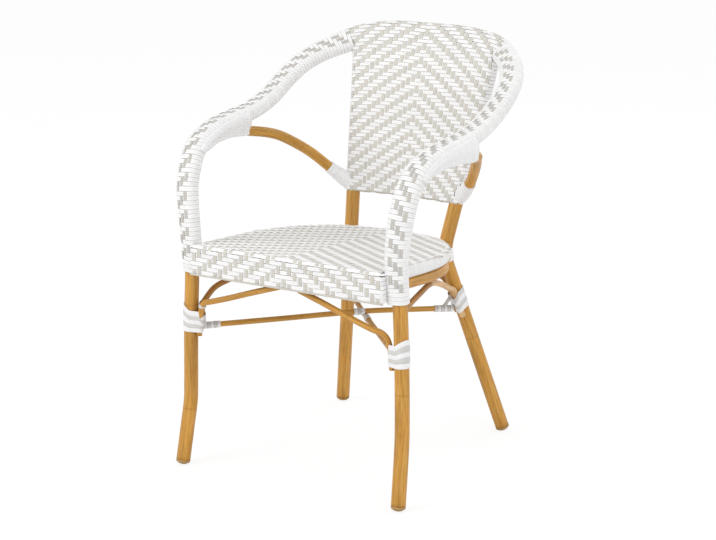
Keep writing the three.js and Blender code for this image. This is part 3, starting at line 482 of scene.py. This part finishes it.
stretcher_points = {
    "right": [(-231.5, -225.0, 277.8), (-119.5, -100.3, 279.2), (0.0, 32.7, 280.8), (67.8, 108.1, 276.6),
              (128.0, 175.0, 272.0)],
    "left": [(231.5, -225.0, 277.2), (119.5, -100.3, 272.8), (0.0, 32.7, 269.2), (-67.8, 108.1, 271.0),
             (-128.0, 175.0, 272.0)],
}
for word, side in sides.items():
    # The rear end of each side arch, beyond its top bend, is painted pale: a painted highlight on its lit half
    side_arch_line = evenly(bent(mirrored(side_arch_points, side)), 4)
    highlight_from = int(np.argmin(np.abs(side_arch_line[:, 1] + 4) + (side_arch_line[:, 2] < 340) * 99))
    cane_piece(f"side_arch_{word}", side_arch_line[:highlight_from + 1], arch_radius, shade_brown_cane, 16)
    cane_piece(f"side_arch_{word}", side_arch_line[highlight_from:], arch_radius + 0.1, highlight_sand_cane, 16, "highlight_end")
    cane_piece(f"cross_stretcher_{word}", evenly(bent(stretcher_points[word]), 8), stretcher_radius, count=16)

# ---- Braces
# Varnished canes that curve from under each arm, inside the white saddle wrap, down and in to the post.
# Each is nailed at both ends, and the wraps cover the nails.
brace_radius = 10.4
brace_points = [
    (258.5, -80.0, 642.0), (259.9, -38.4, 634.3), (260.3, 3.2, 626.8), (242.3, 39.3, 620.0), (228.0, 66.0, 611.0),
    (207.7, 101.5, 589.5), (188.5, 129.5, 567.0), (166.2, 155.0, 538.5), (141.0, 175.5, 512.5),
]
for word, side in sides.items():
    cane_piece(f"arm_brace_{word}", evenly(bent(mirrored(brace_points, side)), 6), brace_radius)


# ---- Woven back
# White and taupe flat plastic cane in pairs: taupe pairs stand and white pairs run across, over two and under
# two, so that the taupe marks rise from both sides to the middle. The sheet lies on the fronts of the posts,
# is rolled round them and goes round the bent pole at the top.
def lot_shade(tree, number, low, high):
    lot = add(tree, "TexWhiteNoise", {"W": number}, noise_dimensions="1D")
    return ranged(tree, lot.outputs["Value"], low, high)


def flat_cane(name, tone, fold_shade_tone, grain):
    # Fine streaks along the strip, a slightly different tone for each length, and painted shade in the folds beside
    # it
    material, tree, body = new_paint(name)
    along, number, way = lay_marks(tree)
    place = add(tree, "CombineXYZ", {
        "X": calc(tree, "MULTIPLY", along, 30.0), "Y": calc(tree, "MULTIPLY", way, 26.0), "Z": number,
    })
    fibre = noise(tree, place.outputs[0], 1.0, 3.0)
    shade = calc(tree, "MULTIPLY", lot_shade(tree, number, 0.955, 1.03),
                      ranged(tree, fibre, 1 - grain, 1 + grain * 0.6, 0.3, 0.7))
    # Painted shade: darker at both sides of the pair and in the valley between its two canes
    third = calc(tree, "FRACT", calc(tree, "MULTIPLY", way, 3.0))
    beside = calc(tree, "SUBTRACT", 0.5, calc(tree, "ABSOLUTE", calc(tree, "SUBTRACT", third, 0.5)))
    colour = blended(tree, ranged(tree, beside, 1.0, 0.0, 0.0, 0.2), scaled(tree, tone, shade), fold_shade_tone)
    surface(tree, body, colour, ranged(tree, fibre, 0.36, 0.52), fibre, 0.25, 0.0002, 0.4)
    return material


white_cane = flat_cane("white_cane", (0.88, 0.88, 0.88), (0.74, 0.73, 0.71), 0.03)
taupe_cane = flat_cane("taupe_cane", (0.64, 0.615, 0.56), (0.46, 0.43, 0.36), 0.09)

# A pair of canes seen end on: two low crowns with a valley between, then the flatter underside
pair_section = np.array([
    (-1, 0), (-0.86, 0.72), (-0.5, 1), (-0.14, 0.72), (0, 0.15), (0.14, 0.72), (0.5, 1), (0.86, 0.72), (1, 0),
    (0.6, -0.9), (0, -0.35), (-0.6, -0.9),
])
cane_thickness, wave_height = 1.2, 0.55
skin_depth = cane_thickness / 2 + wave_height
column_half, row_half, edge_column_half = 0.38, 0.475, 0.37
strand_hold = 0.17  # how long a strand stays up or down before it passes under or over its neighbour


def strips(centre, side, out, section, heights=0.0, thickness=cane_thickness):
    # The section carried along a line: side is half its width, out the way it faces
    lifts = np.reshape(heights, (-1, 1)) + section[:, 1] * thickness / 2
    side = np.broadcast_to(side, centre.shape)[:, None] * section[:, 0][None, :, None]
    return centre[:, None] + side + out[:, None] * lifts[..., None]


def laid(place, columns, rows, half_columns, half_rows, heights, turned_over=False):
    centre = place(columns, rows)
    side = (place(columns + half_columns, rows + half_rows) - place(columns - half_columns, rows - half_rows)) / 2
    out = unit(np.cross(side, headings(centre))) * (-1 if turned_over else 1)
    return strips(centre, side, out, pair_section, heights)


def taupe_on_top(column, row):
    return np.mod(row + np.abs(column), 4) < 2


def column_heights(column, rows, on_top=taupe_on_top):
    base = np.floor(rows)
    here = np.where(on_top(column, base), 1.0, -1.0)
    step = np.where(rows - base > 0.5, 1, -1)
    beside = np.where(on_top(column, base + step), 1.0, -1.0)
    blend = np.clip(np.abs(rows - base - 0.5) - strand_hold, 0, 0.5) * 1.5
    return wave_height * (here * (1 - blend) + beside * blend)


def row_heights(columns, row):
    base = np.round(columns)
    here = np.where(taupe_on_top(base, row), -1.0, 1.0)
    beside = np.where(taupe_on_top(base + np.where(columns > base, 1, -1), row), -1.0, 1.0)
    blend = np.clip(np.abs(columns - base) - strand_hold, 0, 0.5) * 1.5
    return wave_height * (here * (1 - blend) + beside * blend)


def standing(place, column, rows, half):
    return laid(place, np.full(len(rows), float(column)), rows, half, 0, column_heights(column, rows))


def running(place, row, columns, plain_beyond=99):
    heights = np.where(np.abs(columns) > plain_beyond, 0.0, row_heights(columns, row))
    return laid(place, columns, np.full(len(columns), row + 0.5), 0, row_half, heights, True)


roll_radius = 16.5
panel_half_columns = 13.4
flat_rows, crown_rows = 41, 18
crown_pitch, crown_half_columns, crown_from, crown_to = 11.7, 16.3, 148, -205
crown_a, crown_b, wrap_power = 24.5, 16.8, 2.6
lower_edge, post_top, flat_share = 492.0, 785, 0.86
middle_rise, hem_radius = 10, 3.2
bow_rises, bow_depths = (0, 0.14, 0.28, 0.46, 0.64, 0.84, 0.93, 1), (13, 10, 7, 4.5, 0.6, 0, 2.5, 8)
table_step = 0.25
table_columns = np.arange(-22, 22.01, table_step)
table_rows = np.arange(-2, flat_rows + crown_rows + 0.01, table_step)


def flat_part(column, rises):
    post = np.stack([rear_at(z) for z in lower_edge + (post_top - lower_edge) * rises])
    pitch = post[:, 0] / panel_half_columns
    share = np.clip(column / panel_half_columns, -1, 1)
    bow = np.interp(rises, bow_rises, bow_depths) * (1 - share**2)
    angle = np.maximum(abs(column) - panel_half_columns, 0) * pitch / roll_radius
    x = post[:, 0] * share + np.sign(column) * (roll_radius - skin_depth) * np.sin(angle)
    y = post[:, 1] - (roll_radius - skin_depth) + bow + (roll_radius - skin_depth) * (1 - np.cos(angle))
    return np.stack([x, y, post[:, 2] + middle_rise * (1 - share**2) * rises**2], axis=1)


def crown_part(column):
    s = hoop_length / 2 - column * crown_pitch
    centre, face, across = (on_hoop(s, v) for v in (hoop_line, hoop_face, hoop_across))
    angle = np.radians(np.linspace(crown_from, crown_to, 40))
    a = (crown_a - skin_depth) * signed_power(np.cos(angle), wrap_power)
    b = (crown_b - skin_depth) * signed_power(np.sin(angle), wrap_power)
    return centre + across * a[:, None] + face * b[:, None]


def back_column(column):
    # Up the panel and over the crown, eased at the join between them, with a small hem at the foot
    flat = flat_part(column, np.linspace(0, flat_share, 54))
    crown = crown_part(np.clip(column, -crown_half_columns, crown_half_columns))
    joined = evenly(np.vstack([flat, crown[6:]]), 2)
    ease = np.clip(1 - np.abs(reach(joined) - reach(flat)[-1] - 5) / 26, 0, 1)[1:-1, None] * 0.5
    for _ in range(60):
        joined[1:-1] += ((joined[:-2] + joined[2:]) / 2 - joined[1:-1]) * ease
    fold = np.radians(np.linspace(20, 172, 7))
    hem = flat[0] + np.stack([0 * fold, hem_radius + hem_radius * np.cos(fold), -hem_radius * np.sin(fold)], axis=1)
    line = np.vstack([hem, joined])
    rows = np.concatenate([np.linspace(-1.8, -0.1, 7), reach(joined) / reach(joined)[-1] * (flat_rows + crown_rows)])
    return np.stack([np.interp(table_rows, rows, line[:, k]) for k in range(3)], axis=1)


back_table = np.stack([back_column(c) for c in table_columns])


def back_place(columns, rows):
    # Reads the table between its entries
    columns, rows = np.broadcast_arrays(np.asarray(columns, float), np.asarray(rows, float))
    i = np.clip((columns - table_columns[0]) / table_step, 0, len(table_columns) - 1.0001)
    j = np.clip((rows - table_rows[0]) / table_step, 0, len(table_rows) - 1.0001)
    i0, j0 = i.astype(int), j.astype(int)
    f, g = (i - i0)[:, None], (j - j0)[:, None]
    near = back_table[i0, j0] * (1 - f) + back_table[i0 + 1, j0] * f
    far = back_table[i0, j0 + 1] * (1 - f) + back_table[i0 + 1, j0 + 1] * f
    return near * (1 - g) + far * g


def spread(start, end):
    # Three places to each strand that is crossed
    return np.linspace(start, end, int(round((end - start) * 3)) + 1)


crown_end = flat_rows + crown_rows - 0.2
back_columns = [standing(back_place, c, spread(-1.8, crown_end), column_half) for c in range(-14, 15)]
back_columns += [standing(back_place, c, spread(flat_rows, crown_end), edge_column_half) for c in (-15, 15)]
back_rows = [running(back_place, row, spread(-19, 19), 14.5) for row in range(flat_rows)]
back_rows += [running(back_place, row, spread(-crown_half_columns, crown_half_columns))
              for row in range(flat_rows, flat_rows + crown_rows)]
piece("back_weave_taupe", back_columns, taupe_cane, ["back_weave"])
piece("back_weave_white", back_rows, white_cane, ["back_weave"])

# Close white turns cover the head of each post, from the last woven roll up into the crown
post_turns = []
turn_pitch, turn_bulge, head_from, head_to = 3.6, 0.5, 732, 786
for side in sides.values():
    head = evenly(mirrored(rear_at((head_from, head_to)), side), 1)
    bulge = turn_bulge * np.abs(np.sin(reach(head) * math.pi / turn_pitch))
    post_turns.append(round_rings(head, pole_radius + 0.2 + bulge, 24))
piece("post_head_turns", post_turns, white_cane, ["back_weave"])

# Dark wire staples hold the right-hand roll at its lower corner and under the crown
staple_wire = speckled_plastic("staple_wire", (0.09, 0.075, 0.065))
staples = []
staple_radius, staple_lift = 0.75, 1.9
for column, row, slant in ((14.3, 4.8, 0.3), (13.4, 2.4, 0.05), (14.5, 40.8, 0.2)):
    ends = back_place(np.array([column - slant, column, column + slant]), np.array([row + 0.6, row, row - 0.6]))
    lift = unit(np.cross(back_place([column + 0.5], [row])[0] - back_place([column - 0.5], [row])[0],
                         ends[0] - ends[2]))
    staples.append(round_rings(evenly(ends + lift * staple_lift, 1), staple_radius, 8))
piece("roll_staples", staples, staple_wire, None)

# ---- Woven arms
# Flat white cane wound tightly round the pole over a padded core. Three taupe pairs run along the broad face
# and pass under and over the windings two by two, so that they show as slanting dashes.
def oval_side(value, a, b, power):
    # How far an oval reaches along b, at a distance from its middle along a
    return b * np.clip(1 - np.abs(value / a) ** power, 0, 1) ** (1 / power)


ring_pitch, plain_rings = 8.3, 3
dash_half, dash_spacing, dash_tilt = 3.7, 10.7, 0.28
sleeve_from, sleeve_to = 385.6, 1149.2
half_face = np.array([2.5, 5, 7.4, 9.4, 11.4, 13.6, 16, 18, 20.6])
face_places = np.concatenate([-half_face[::-1], [0], half_face])
sleeve_a, sleeve_b = crown_a - skin_depth, crown_b - skin_depth
face_rise = oval_side(face_places, sleeve_a, sleeve_b, wrap_power)
rest_angle = np.radians([16, 4, -10, -26, -45, -68, -90, -112, -135, -154, -170, -184, -196])
round_a = np.concatenate([face_places, sleeve_a * signed_power(np.cos(rest_angle), wrap_power)])
round_b = np.concatenate([face_rise, sleeve_b * signed_power(np.sin(rest_angle), wrap_power)])
normal_a = np.sign(round_a) * np.abs(round_a / sleeve_a) ** (wrap_power - 1) / sleeve_a
normal_b = np.sign(round_b) * np.abs(round_b / sleeve_b) ** (wrap_power - 1) / sleeve_b


def dash_on_top(column, row):
    return (np.mod(row + column, 4) < 2) & (row >= plain_rings)


def warp_spacing(lengths):
    # The three pairs close up where the face turns upwards over the arm
    return np.interp(lengths, (560, 680, 1040, 1149), (dash_spacing, 8.0, 8.0, 9.5))


def sleeve_points(lengths, a, b):
    # a runs across the face and b out from the pole; the outer side is drawn in where it passes the seat
    centre, face, across = (on_hoop(lengths, v) for v in (hoop_line, hoop_face, hoop_across))
    a = np.where(np.asarray(a) > 0, a * np.interp(lengths, (386, 440, 540), (0.74, 0.8, 1)), a)
    return centre + across * a[..., None] + face * np.asarray(b)[..., None]


# The arm dashes are the taupe cane painted darker: painted shade where they sink between the windings
shaded_taupe_dashes = flat_cane("shaded_taupe_dashes", (0.56, 0.54, 0.5), (0.4, 0.38, 0.335), 0.09)
ring_total = int((sleeve_to - sleeve_from) / ring_pitch)
rib_section = np.array([
    (-1, 0.5), (-0.75, 0.9), (-0.5, 1), (-0.25, 0.9), (0, 0.5), (0.25, 0.9), (0.5, 1), (0.75, 0.9), (1, 0.5),
    (0.6, -0.9), (0, -0.35), (-0.6, -0.9),
])
for word, side in sides.items():
    windings, warps = [], []
    for ring in range(ring_total):
        s = sleeve_from + (ring + 0.5) * ring_pitch
        before, after = (sleeve_points(s + half * ring_pitch, round_a, round_b) for half in (-0.5, 0.5))
        out = unit(on_hoop(s, hoop_across) * normal_a[:, None] + on_hoop(s, hoop_face) * normal_b[:, None])
        gap = warp_spacing(s)
        knots = gap * np.array([-1.55, -1, 0, 1, 1.55])
        lifts = [0, *[-wave_height if dash_on_top(k, ring) else wave_height for k in (-1, 0, 1)], 0]
        heights = np.where(round_b > 0, np.interp(round_a, knots, lifts), 0)
        heights[len(face_places):] = 0
        windings.append(closed(strips((before + after) / 2, (after - before) / 2, out, rib_section, heights)))
    for k in (-1, 0, 1):
        rows = spread(plain_rings - 0.5, ring_total)
        lengths = sleeve_from + rows * ring_pitch
        gap = warp_spacing(lengths)
        centre = sleeve_points(lengths, gap * k, oval_side(gap * k, sleeve_a, sleeve_b, wrap_power))
        face, across = on_hoop(lengths, hoop_face), on_hoop(lengths, hoop_across)
        slope, wide = k * dash_tilt, dash_half * gap / dash_spacing
        warps.append(strips(centre, unit(across - face * slope) * wide[:, None], unit(face + across * slope),
                            pair_section, column_heights(k, rows, dash_on_top)))
    for part_word, strands, material in (("windings", windings, white_cane), ("dashes", warps, shaded_taupe_dashes)):
        piece(f"arm_{word}_{part_word}", [mirrored(w, side) for w in strands], material,
              [f"arm_sleeve_{word}"])

# ---- Woven seat
# The same cane in the same twill: taupe pairs run from the apron over the front edge to the rear, white pairs
# run across, and both are turned down over the bent rim. The apron hangs below the front edge.
seat_pitch, seat_row_pitch, seat_column_half = 12.1, 8.3, 0.34
edge_round, edge_band, edge_dive, dive_depth = 7.0, 7.0, 5, 3.5
apron_foot, apron_half, apron_bend = 395.6, 215.5, 2.5
front_face = seat_front - skin_depth
front_line = [(-front_face, apron_foot)]
for step in np.linspace(0, math.pi / 2, 8):
    front_line.append((-front_face + edge_round * (1 - math.cos(step)),
                       seat_top(-seat_front) - skin_depth - edge_round * (1 - math.sin(step))))
front_line = np.array(front_line)
front_reach = reach(front_line)


def seat_profile(lengths):
    # y and z of the sheet at a length from the apron's lower edge, over the front edge and on towards the rear
    beyond = np.maximum(lengths - front_reach[-1], 0)
    y = np.interp(lengths, front_reach, front_line[:, 0]) + beyond
    z = np.interp(lengths, front_reach, front_line[:, 1]) - seat_slope * beyond
    return y, z


def rear_edge(x):
    return oval_side(x, seat_half, seat_back + seat_widest, rear_power) - seat_widest - skin_depth


def side_edge(y):
    rear = oval_side(y + seat_widest, seat_back + seat_widest, seat_half, rear_power)
    return np.where(y > -seat_widest, rear, seat_half) - skin_depth


def turned_down(distance, limit, bend):
    # How far out and how far down a strand is, once it has run a distance towards an edge at the limit
    past = np.maximum(distance - (limit - bend), 0)
    angle = np.minimum(past / bend, math.pi / 2)
    out = np.minimum(distance, limit - bend) + bend * np.sin(angle)
    down = bend * (1 - np.cos(angle)) + np.maximum(past - bend * math.pi / 2, 0)
    return out, down


def dived(distance, limit):
    # How deep a strand has gone under the wound edge, once it has run a distance towards the limit
    return np.clip((distance - limit) / edge_dive, 0, 1) ** 2 * dive_depth


def seat_column_place(columns, rows):
    x = columns * seat_pitch
    y, z = seat_profile(rows * seat_row_pitch)
    top = rows * seat_row_pitch > front_reach[-1]
    limit = rear_edge(np.round(columns) * seat_pitch) - edge_band
    y = np.where(top, np.minimum(y, limit + edge_dive), y)
    return np.stack([x + 0 * y, y, np.where(top, seat_top(y) - skin_depth, z) - np.where(top, dived(y, limit), 0)],
                    axis=1)


def seat_row_place(columns, rows):
    y, z = seat_profile(rows * seat_row_pitch)
    top = rows * seat_row_pitch > front_reach[-1] - 3
    middle_y, _ = seat_profile((np.floor(rows) + 0.5) * seat_row_pitch)
    limit = side_edge(middle_y) - edge_band
    x = np.abs(columns) * seat_pitch
    out, down = turned_down(x, apron_half, apron_bend)
    x = np.where(top, np.minimum(x, limit + edge_dive), out)
    return np.stack([np.sign(columns) * x, y + np.where(top, 0, down), z - np.where(top, dived(x, limit), 0)], axis=1)


seat_columns, seat_rows = [], []
for column in range(-17, 18):
    x = column * seat_pitch
    end = (front_reach[-1] + rear_edge(x) - edge_band + edge_dive + front_face - edge_round) / seat_row_pitch
    seat_columns.append(standing(seat_column_place, column, spread(0.02, end), seat_column_half))
last_row = int((front_reach[-1] + front_face - edge_round + seat_back - edge_band) / seat_row_pitch) - 1
for row in range(last_row + 1):
    y, _ = seat_profile(np.array([(row + 0.5) * seat_row_pitch]))
    if (row + 0.5) * seat_row_pitch > front_reach[-1] - 3:
        end = (side_edge(y)[0] - edge_band + edge_dive) / seat_pitch
    else:
        end = (apron_half + 14) / seat_pitch
    seat_rows.append(running(seat_row_place, row, spread(-end, end), 17.8))

# The wound edge: short white turns over the bent rim, from the top of the seat down and under
edge_line, wound_half = seat_outline(0, 0, 400), 190
start = int(np.argmin(np.abs(edge_line[:, 0] - wound_half) + np.abs(edge_line[:, 1] + seat_front)))
edge_line = np.roll(edge_line, -start, axis=0)
stop = int(np.argmin(np.abs(edge_line[:, 0] + wound_half) + np.abs(edge_line[:, 1] + seat_front)))
edge_line = edge_line[:stop + 1]
turn_total = int(reach(edge_line)[-1] / seat_row_pitch)
turn_path = [(-edge_band - 4.5, -2.6), (-edge_band - 2.5, -0.5), (-edge_band, 0)]
turn_path += [(-edge_round + edge_round * math.sin(a), -edge_round + edge_round * math.cos(a))
              for a in np.linspace(0.25, math.pi / 2, 5)]
turn_path += [(0, -13), (0, -19), (-2.5, -24), (-8, -25.6), (-14, -25.6)]
turn_path = np.array(turn_path)
path_out = headings(turn_path)[:, ::-1] * (-1, 1)
edge_turns = []
for turn in range(turn_total):
    s = (turn + 0.5) * reach(edge_line)[-1] / turn_total
    before, here, after = on_line(edge_line, s + seat_row_pitch * np.array([-0.5, 0, 0.5]))
    outward = unit(np.cross(after - before, (0, 0, 1)))
    outward = outward * np.sign(outward @ (here - (0, -seat_widest, here[2])))
    base = here + outward * (turn_path[:, :1] - skin_depth / 2)
    base[:, 2] = seat_top(base[:, 1]) + turn_path[:, 1] - skin_depth / 2
    normal = outward * path_out[:, :1] + np.array([0, 0, 1]) * path_out[:, 1:]
    edge_turns.append(strips(base, (after - before) / 2, normal, rib_section))

# The lower edge of the apron: one pair laid along it, in taupe as a painted shade line under the pale edge
apron_hem_drop, apron_hem_radius = 1.6, 2.1
hem_ends = np.array([(x, -front_face, apron_foot - apron_hem_drop) for x in (-apron_half, apron_half)])
apron_shade_hem = round_rings(evenly(hem_ends, 6), apron_hem_radius, 10)
piece("seat_weave_taupe", [*seat_columns, apron_shade_hem], taupe_cane, ["seat_weave"])
piece("seat_weave_white", [*seat_rows, *edge_turns], white_cane, ["seat_weave"])


# ---- Smooth white wraps
# White cane wound edge to edge: the saddle from each arm down round the brace, the sleeve where the brace
# meets the post, and the cuff on each rear leg at the seat.
def wound_white(name, tone, turn_width):
    # Shallow grooves between the turns with painted shade in them, a slightly different tone for each turn, and fine
    # streaks
    material, tree, body = new_paint(name)
    turns = calc(tree, "DIVIDE", lay_marks(tree)[0], turn_width)
    groove = calc(tree, "ABSOLUTE", calc(tree, "SUBTRACT", calc(tree, "FRACT", turns), 0.5))
    streaks = noise(tree, add(tree, "TexCoord").outputs["Object"], 140.0, 3.0)
    # Painted shade: each turn darkens towards the grooves at its edges
    shade = calc(tree, "MULTIPLY", lot_shade(tree, calc(tree, "FLOOR", turns), 0.965, 1.02),
                      ranged(tree, groove, 1.0, 0.84, 0.42, 0.5))
    shade = calc(tree, "MULTIPLY", shade, ranged(tree, streaks, 0.965, 1.02, 0.3, 0.7))
    dome = ranged(tree, calc(tree, "POWER", calc(tree, "MULTIPLY", groove, 2.0), 4.0), 1.0, 0.0)
    heights = calc(tree, "ADD", dome, calc(tree, "MULTIPLY", streaks, 0.3))
    surface(tree, body, scaled(tree, tone, shade), ranged(tree, streaks, 0.34, 0.5), heights, 0.5, 0.0004, 0.4)
    return material


def wrap_piece(node, rings):
    piece(f"{node}_cane", [rings], saddle_white, [node])


saddle_white = wound_white("saddle_white", (0.88, 0.88, 0.885), 0.0042)
saddle_front, saddle_back, saddle_foot, saddle_lean = -206.0, -11.5, 21, 19
# y, and how deep the wrap hangs below the middle of the arm there
saddle_depths = [(-212, 17), (-200, 20), (-185, 25), (-167, 29.5), (-145, 32), (-122, 33.5), (-92, 36), (-62, 39.5),
                 (-35, 44.5), (-13, 49.5)]
wrap_thickness, cuff_thickness = 1.9, 2.2
brace_wrap_length, cuff_from, cuff_to = 65, 373, 401


def saddle_rings():
    # Only the right arm of the pole, above the seat, so that y grows along it
    arm = (hoop_reach < hoop_length / 2) & (hoop_line[:, 2] > 590)
    y_line, s_line = hoop_line[arm][:, 1], hoop_reach[arm]
    lengths = np.linspace(*np.interp((saddle_front, saddle_back), y_line, s_line), 84)
    centre, heading, face, across = (on_hoop(lengths, v) for v in (hoop_line, hoop_heading, hoop_face, hoop_across))
    y = centre[:, 1]
    depths = np.interp(y, *np.transpose(saddle_depths))
    leading = np.clip((y + 185) / 125, 0, 1)
    leading = leading * leading * (3 - 2 * leading)
    shift = np.interp(y, (-185, -80, 3), (0, 2.8, 6.6)) * np.sign(across[:, 0])
    foot = saddle_foot * (1 - leading) + (brace_radius + wrap_thickness) * leading
    foot = np.minimum(foot, depths - 3)
    rings = []
    for c, t, n, a, d, w, f, lead in zip(centre, heading, face, across, depths, shift, foot, leading):
        # From the arm's side down to the round foot of the wrap, and up the other side
        drop = np.linspace(0, 1, 10)
        b = np.interp(drop, (0, 0.25, 1), (9, -2, -(d - f)))
        skin = oval_side(np.maximum(b, 0), crown_b, crown_a, wrap_power)
        lip = np.interp(b, (-2, 9), (wrap_thickness, 0.5))
        run = np.clip((drop - 0.25) / 0.75, 0, 1)
        wide = (skin + lip) * (1 - run**1.6) + f * run**1.6
        left = np.stack([wide + w * run, b], axis=1)
        right = np.stack([-wide + w * run, b], axis=1)[::-1]
        bend = np.radians(np.linspace(-18, -162, 9))
        bottom = np.stack([w + f * np.cos(bend), -(d - f) + f * np.sin(bend)], axis=1)
        outline = np.vstack([left, bottom, right])
        lean = -saddle_lean * lead * np.clip((outline[:, 1] + d) / d, 0, 1)
        rings.append(c + a * outline[:, :1] + n * outline[:, 1:] + t * lean[:, None])
    return np.array(rings)


for word, side in sides.items():
    wrap_piece(f"saddle_wrap_{word}", mirrored(saddle_rings(), side))

# The brace's wrap widens towards its end until it lies along the post
for word, side in sides.items():
    line = evenly(bent(mirrored([*brace_points, (123.2, 185.5, 499.0)], side)), 2)
    lengths = reach(line)
    line = line[lengths > lengths[-1] - brace_wrap_length]
    share = np.linspace(0, 1, len(line))
    heading = headings(line)
    post_axis = mirrored((0.114, 0.285, 0.952), side)
    upward = np.cross(np.cross(heading, (0, 0, 1)), heading)
    upward = unit(upward * (1 - share[:, None] ** 2) + post_axis * share[:, None] ** 2)
    wide, tall = (brace_radius + cuff_thickness + flare for flare in (2 * share, 8 * share**1.5))
    wrap_piece(f"brace_wrap_{word}", ringed(line, unit(np.cross(heading, upward)), upward, wide, tall, 24))
    cuff = pole_radius + cuff_thickness - 1.4 * np.abs(np.linspace(-1, 1, 12)) ** 8
    knee = mirrored(rear_at(np.linspace(cuff_from, cuff_to, 12)), side)
    wrap_piece(f"knee_wrap_{word}", round_rings(knee, cuff, 24))

# ---- Bindings
# Flat plastic strip, white and pale grey by turns, pulled tight round the legs and the arch tips, round the
# ends of the stretchers and where they cross.
binding_white = wound_white("binding_white", (0.85, 0.85, 0.86), 0.5)
binding_grey = wound_white("binding_grey", (0.63, 0.615, 0.595), 0.5)


def band(loop, along, width, thickness=1.5):
    # A closed flat band with soft edges: the loop runs round, along is the way across its width
    out = unit(np.cross(loop_headings(loop), along))
    if ((loop - loop.mean(axis=0)) * out).sum() < 0:
        out = -out
    section = np.array([(-1, -1), (-1, 0.2), (-0.9, 0.8), (-0.5, 1.04), (0.5, 1.04), (0.9, 0.8), (1, 0.2), (1, -1)])
    return closed(strips(loop, along * width / 2, out, section, thickness=thickness))


def two_tones(name, node, whites, greys):
    piece(f"{name}_white", whites, binding_white, [node])
    piece(f"{name}_grey", greys, binding_grey, [node])


# Each joint: where the leg stands at that height, its direction, the two ways across it, the arch tips (degrees
# round the leg, height of their ends), and the bands: how many, how high the first is, and how they lean.
band_pitch, band_width, tip_offset, loop_step = 8.3, 10.6, 20.65, 2.6
tie_width, strap_half, strap_thickness = 7.5, 3.4, 0.9
joints = {
    "front": {
        "low": (238.9, -233.2, 275.0), "axis": (-0.0381, 0.0098, 0.9992), "inward": (-0.9993, -0.0004, -0.0381),
        "backward": (0.0, 1.0, -0.0098), "tips": ((0, 262.0), (37, 281.0)),
        "bands": 5, "from": 1.0, "lean": (0.5, 2.6),
    },
    "rear": {
        "low": (135.6, 183.5, 275.0), "axis": (-0.2109, -0.2589, 0.9426), "inward": (-0.9775, 0.0559, -0.2034),
        "backward": (0.0, 0.9643, 0.2649), "tips": ((20, 262.0), (-115, 262.0)),
        "bands": 4, "from": 4.0, "lean": (2.0, 1.6),
    },
}
for place_word, joint in joints.items():
    for word, side in sides.items():
        low, axis, inward, backward = (
            mirrored(joint[key], side) for key in ("low", "axis", "inward", "backward"))
        white_bands, grey_bands = [], []
        toward = math.radians(sum(tip[0] for tip in joint["tips"]) / 2)
        for k in range(joint["bands"]):
            climb = joint["from"] + k * band_pitch
            lean = joint["lean"][0] + joint["lean"][1] * k
            lift = 0.9 + 0.16 * k
            loop = []
            for a in np.linspace(0, 2 * math.pi, 56, endpoint=False):
                out = inward * math.cos(a) + backward * math.sin(a)
                rise = climb - lean * math.cos(a - toward)
                best, spot = pole_radius + lift, out * (pole_radius + lift)
                for turn, end in joint["tips"]:
                    t = math.radians(turn)
                    offset = (inward * math.cos(t) + backward * math.sin(t)) * tip_offset
                    if low[2] + rise + 4 > end and offset @ out + arch_radius + lift > best:
                        best = offset @ out + arch_radius + lift
                        spot = offset + out * (arch_radius + lift)
                loop.append(low + spot + axis * rise / axis[2])
            loop = evenly_closed(np.array(loop), loop_step)
            (grey_bands if k % 2 else white_bands).append(band(loop, axis, band_width))
        if place_word == "front" and word == "left":
            # A narrow grey tie round both arches where they meet above the binding
            turn = np.linspace(0, 2 * math.pi, 40, endpoint=False)
            rods = mirrored([(208.2, -237.2, 324.5), (219.9, -217.3, 324.5)], side)
            ways = np.stack([np.cos(turn), np.sin(turn), 0 * turn], axis=1)
            loop = rods[(ways @ (rods[1] - rods[0]) > 0).astype(int)] + ways * (arch_radius + 0.9)
            grey_bands.append(band(evenly_closed(loop, loop_step), np.array([0.0, 0.0, 1.0]), tie_width))
        if place_word == "rear":
            # A strap runs from the end of the stretcher's wrap up over the binding
            strap = evenly(bent(mirrored([
                (109.5, 154.0, 277.0), (113.5, 158.0, 284.0), (118.0, 163.0, 294.0), (123.6, 169.8, 306.0),
            ], side)), 2)
            wide = unit(np.cross(headings(strap), mirrored((0.5, -0.82, 0.25), side)))
            thick = unit(np.cross(headings(strap), wide))
            grey_bands.append(ringed(strap, wide, thick, strap_half, strap_thickness, 12))
        two_tones(f"{place_word}_binding_{word}", f"{place_word}_leg_binding_{word}", white_bands, grey_bands)


def rod_bands(line, start, count, width, first_grey=0):
    # Bands side by side along a stretcher, white and grey by turns
    bands = [], []
    for k in range(count):
        place = on_line(line, start + (k + 0.5) * width + np.array([-0.5, 0.5]))
        heading = unit(place[1] - place[0])
        across = unit(np.cross(heading, (0, 0, 1)))
        reach_out = stretcher_radius + 0.8
        loop = ringed(place.mean(axis=0)[None], across, np.cross(across, heading), reach_out, reach_out, 20)[0]
        bands[(k + first_grey) % 2].append(band(loop, heading, width * 0.95, 1.3))
    return bands


end_band, crossing_band, front_gap, rear_gap, crossing_gap = 6.8, 7.4, 13.0, 7.0, 26
for word, side in sides.items():
    line = evenly(bent(stretcher_points[word]), 3)
    whole = reach(line)[-1]
    rear_start = whole - rear_gap - 6 * end_band
    for place_word, start, first in (("front", front_gap, 0), ("rear", rear_start, 1)):
        two_tones(f"{place_word}_stretcher_{word}", f"{place_word}_stretcher_wrap_{word}",
                  *rod_bands(line, start, 5 + first, end_band, first))
    crossing_start = np.interp(0, line[:, 0] * side, reach(line)) - crossing_gap
    node = f"cross_binding_{word}"
    two_tones(node, node, *rod_bands(line, crossing_start, 3, crossing_band))
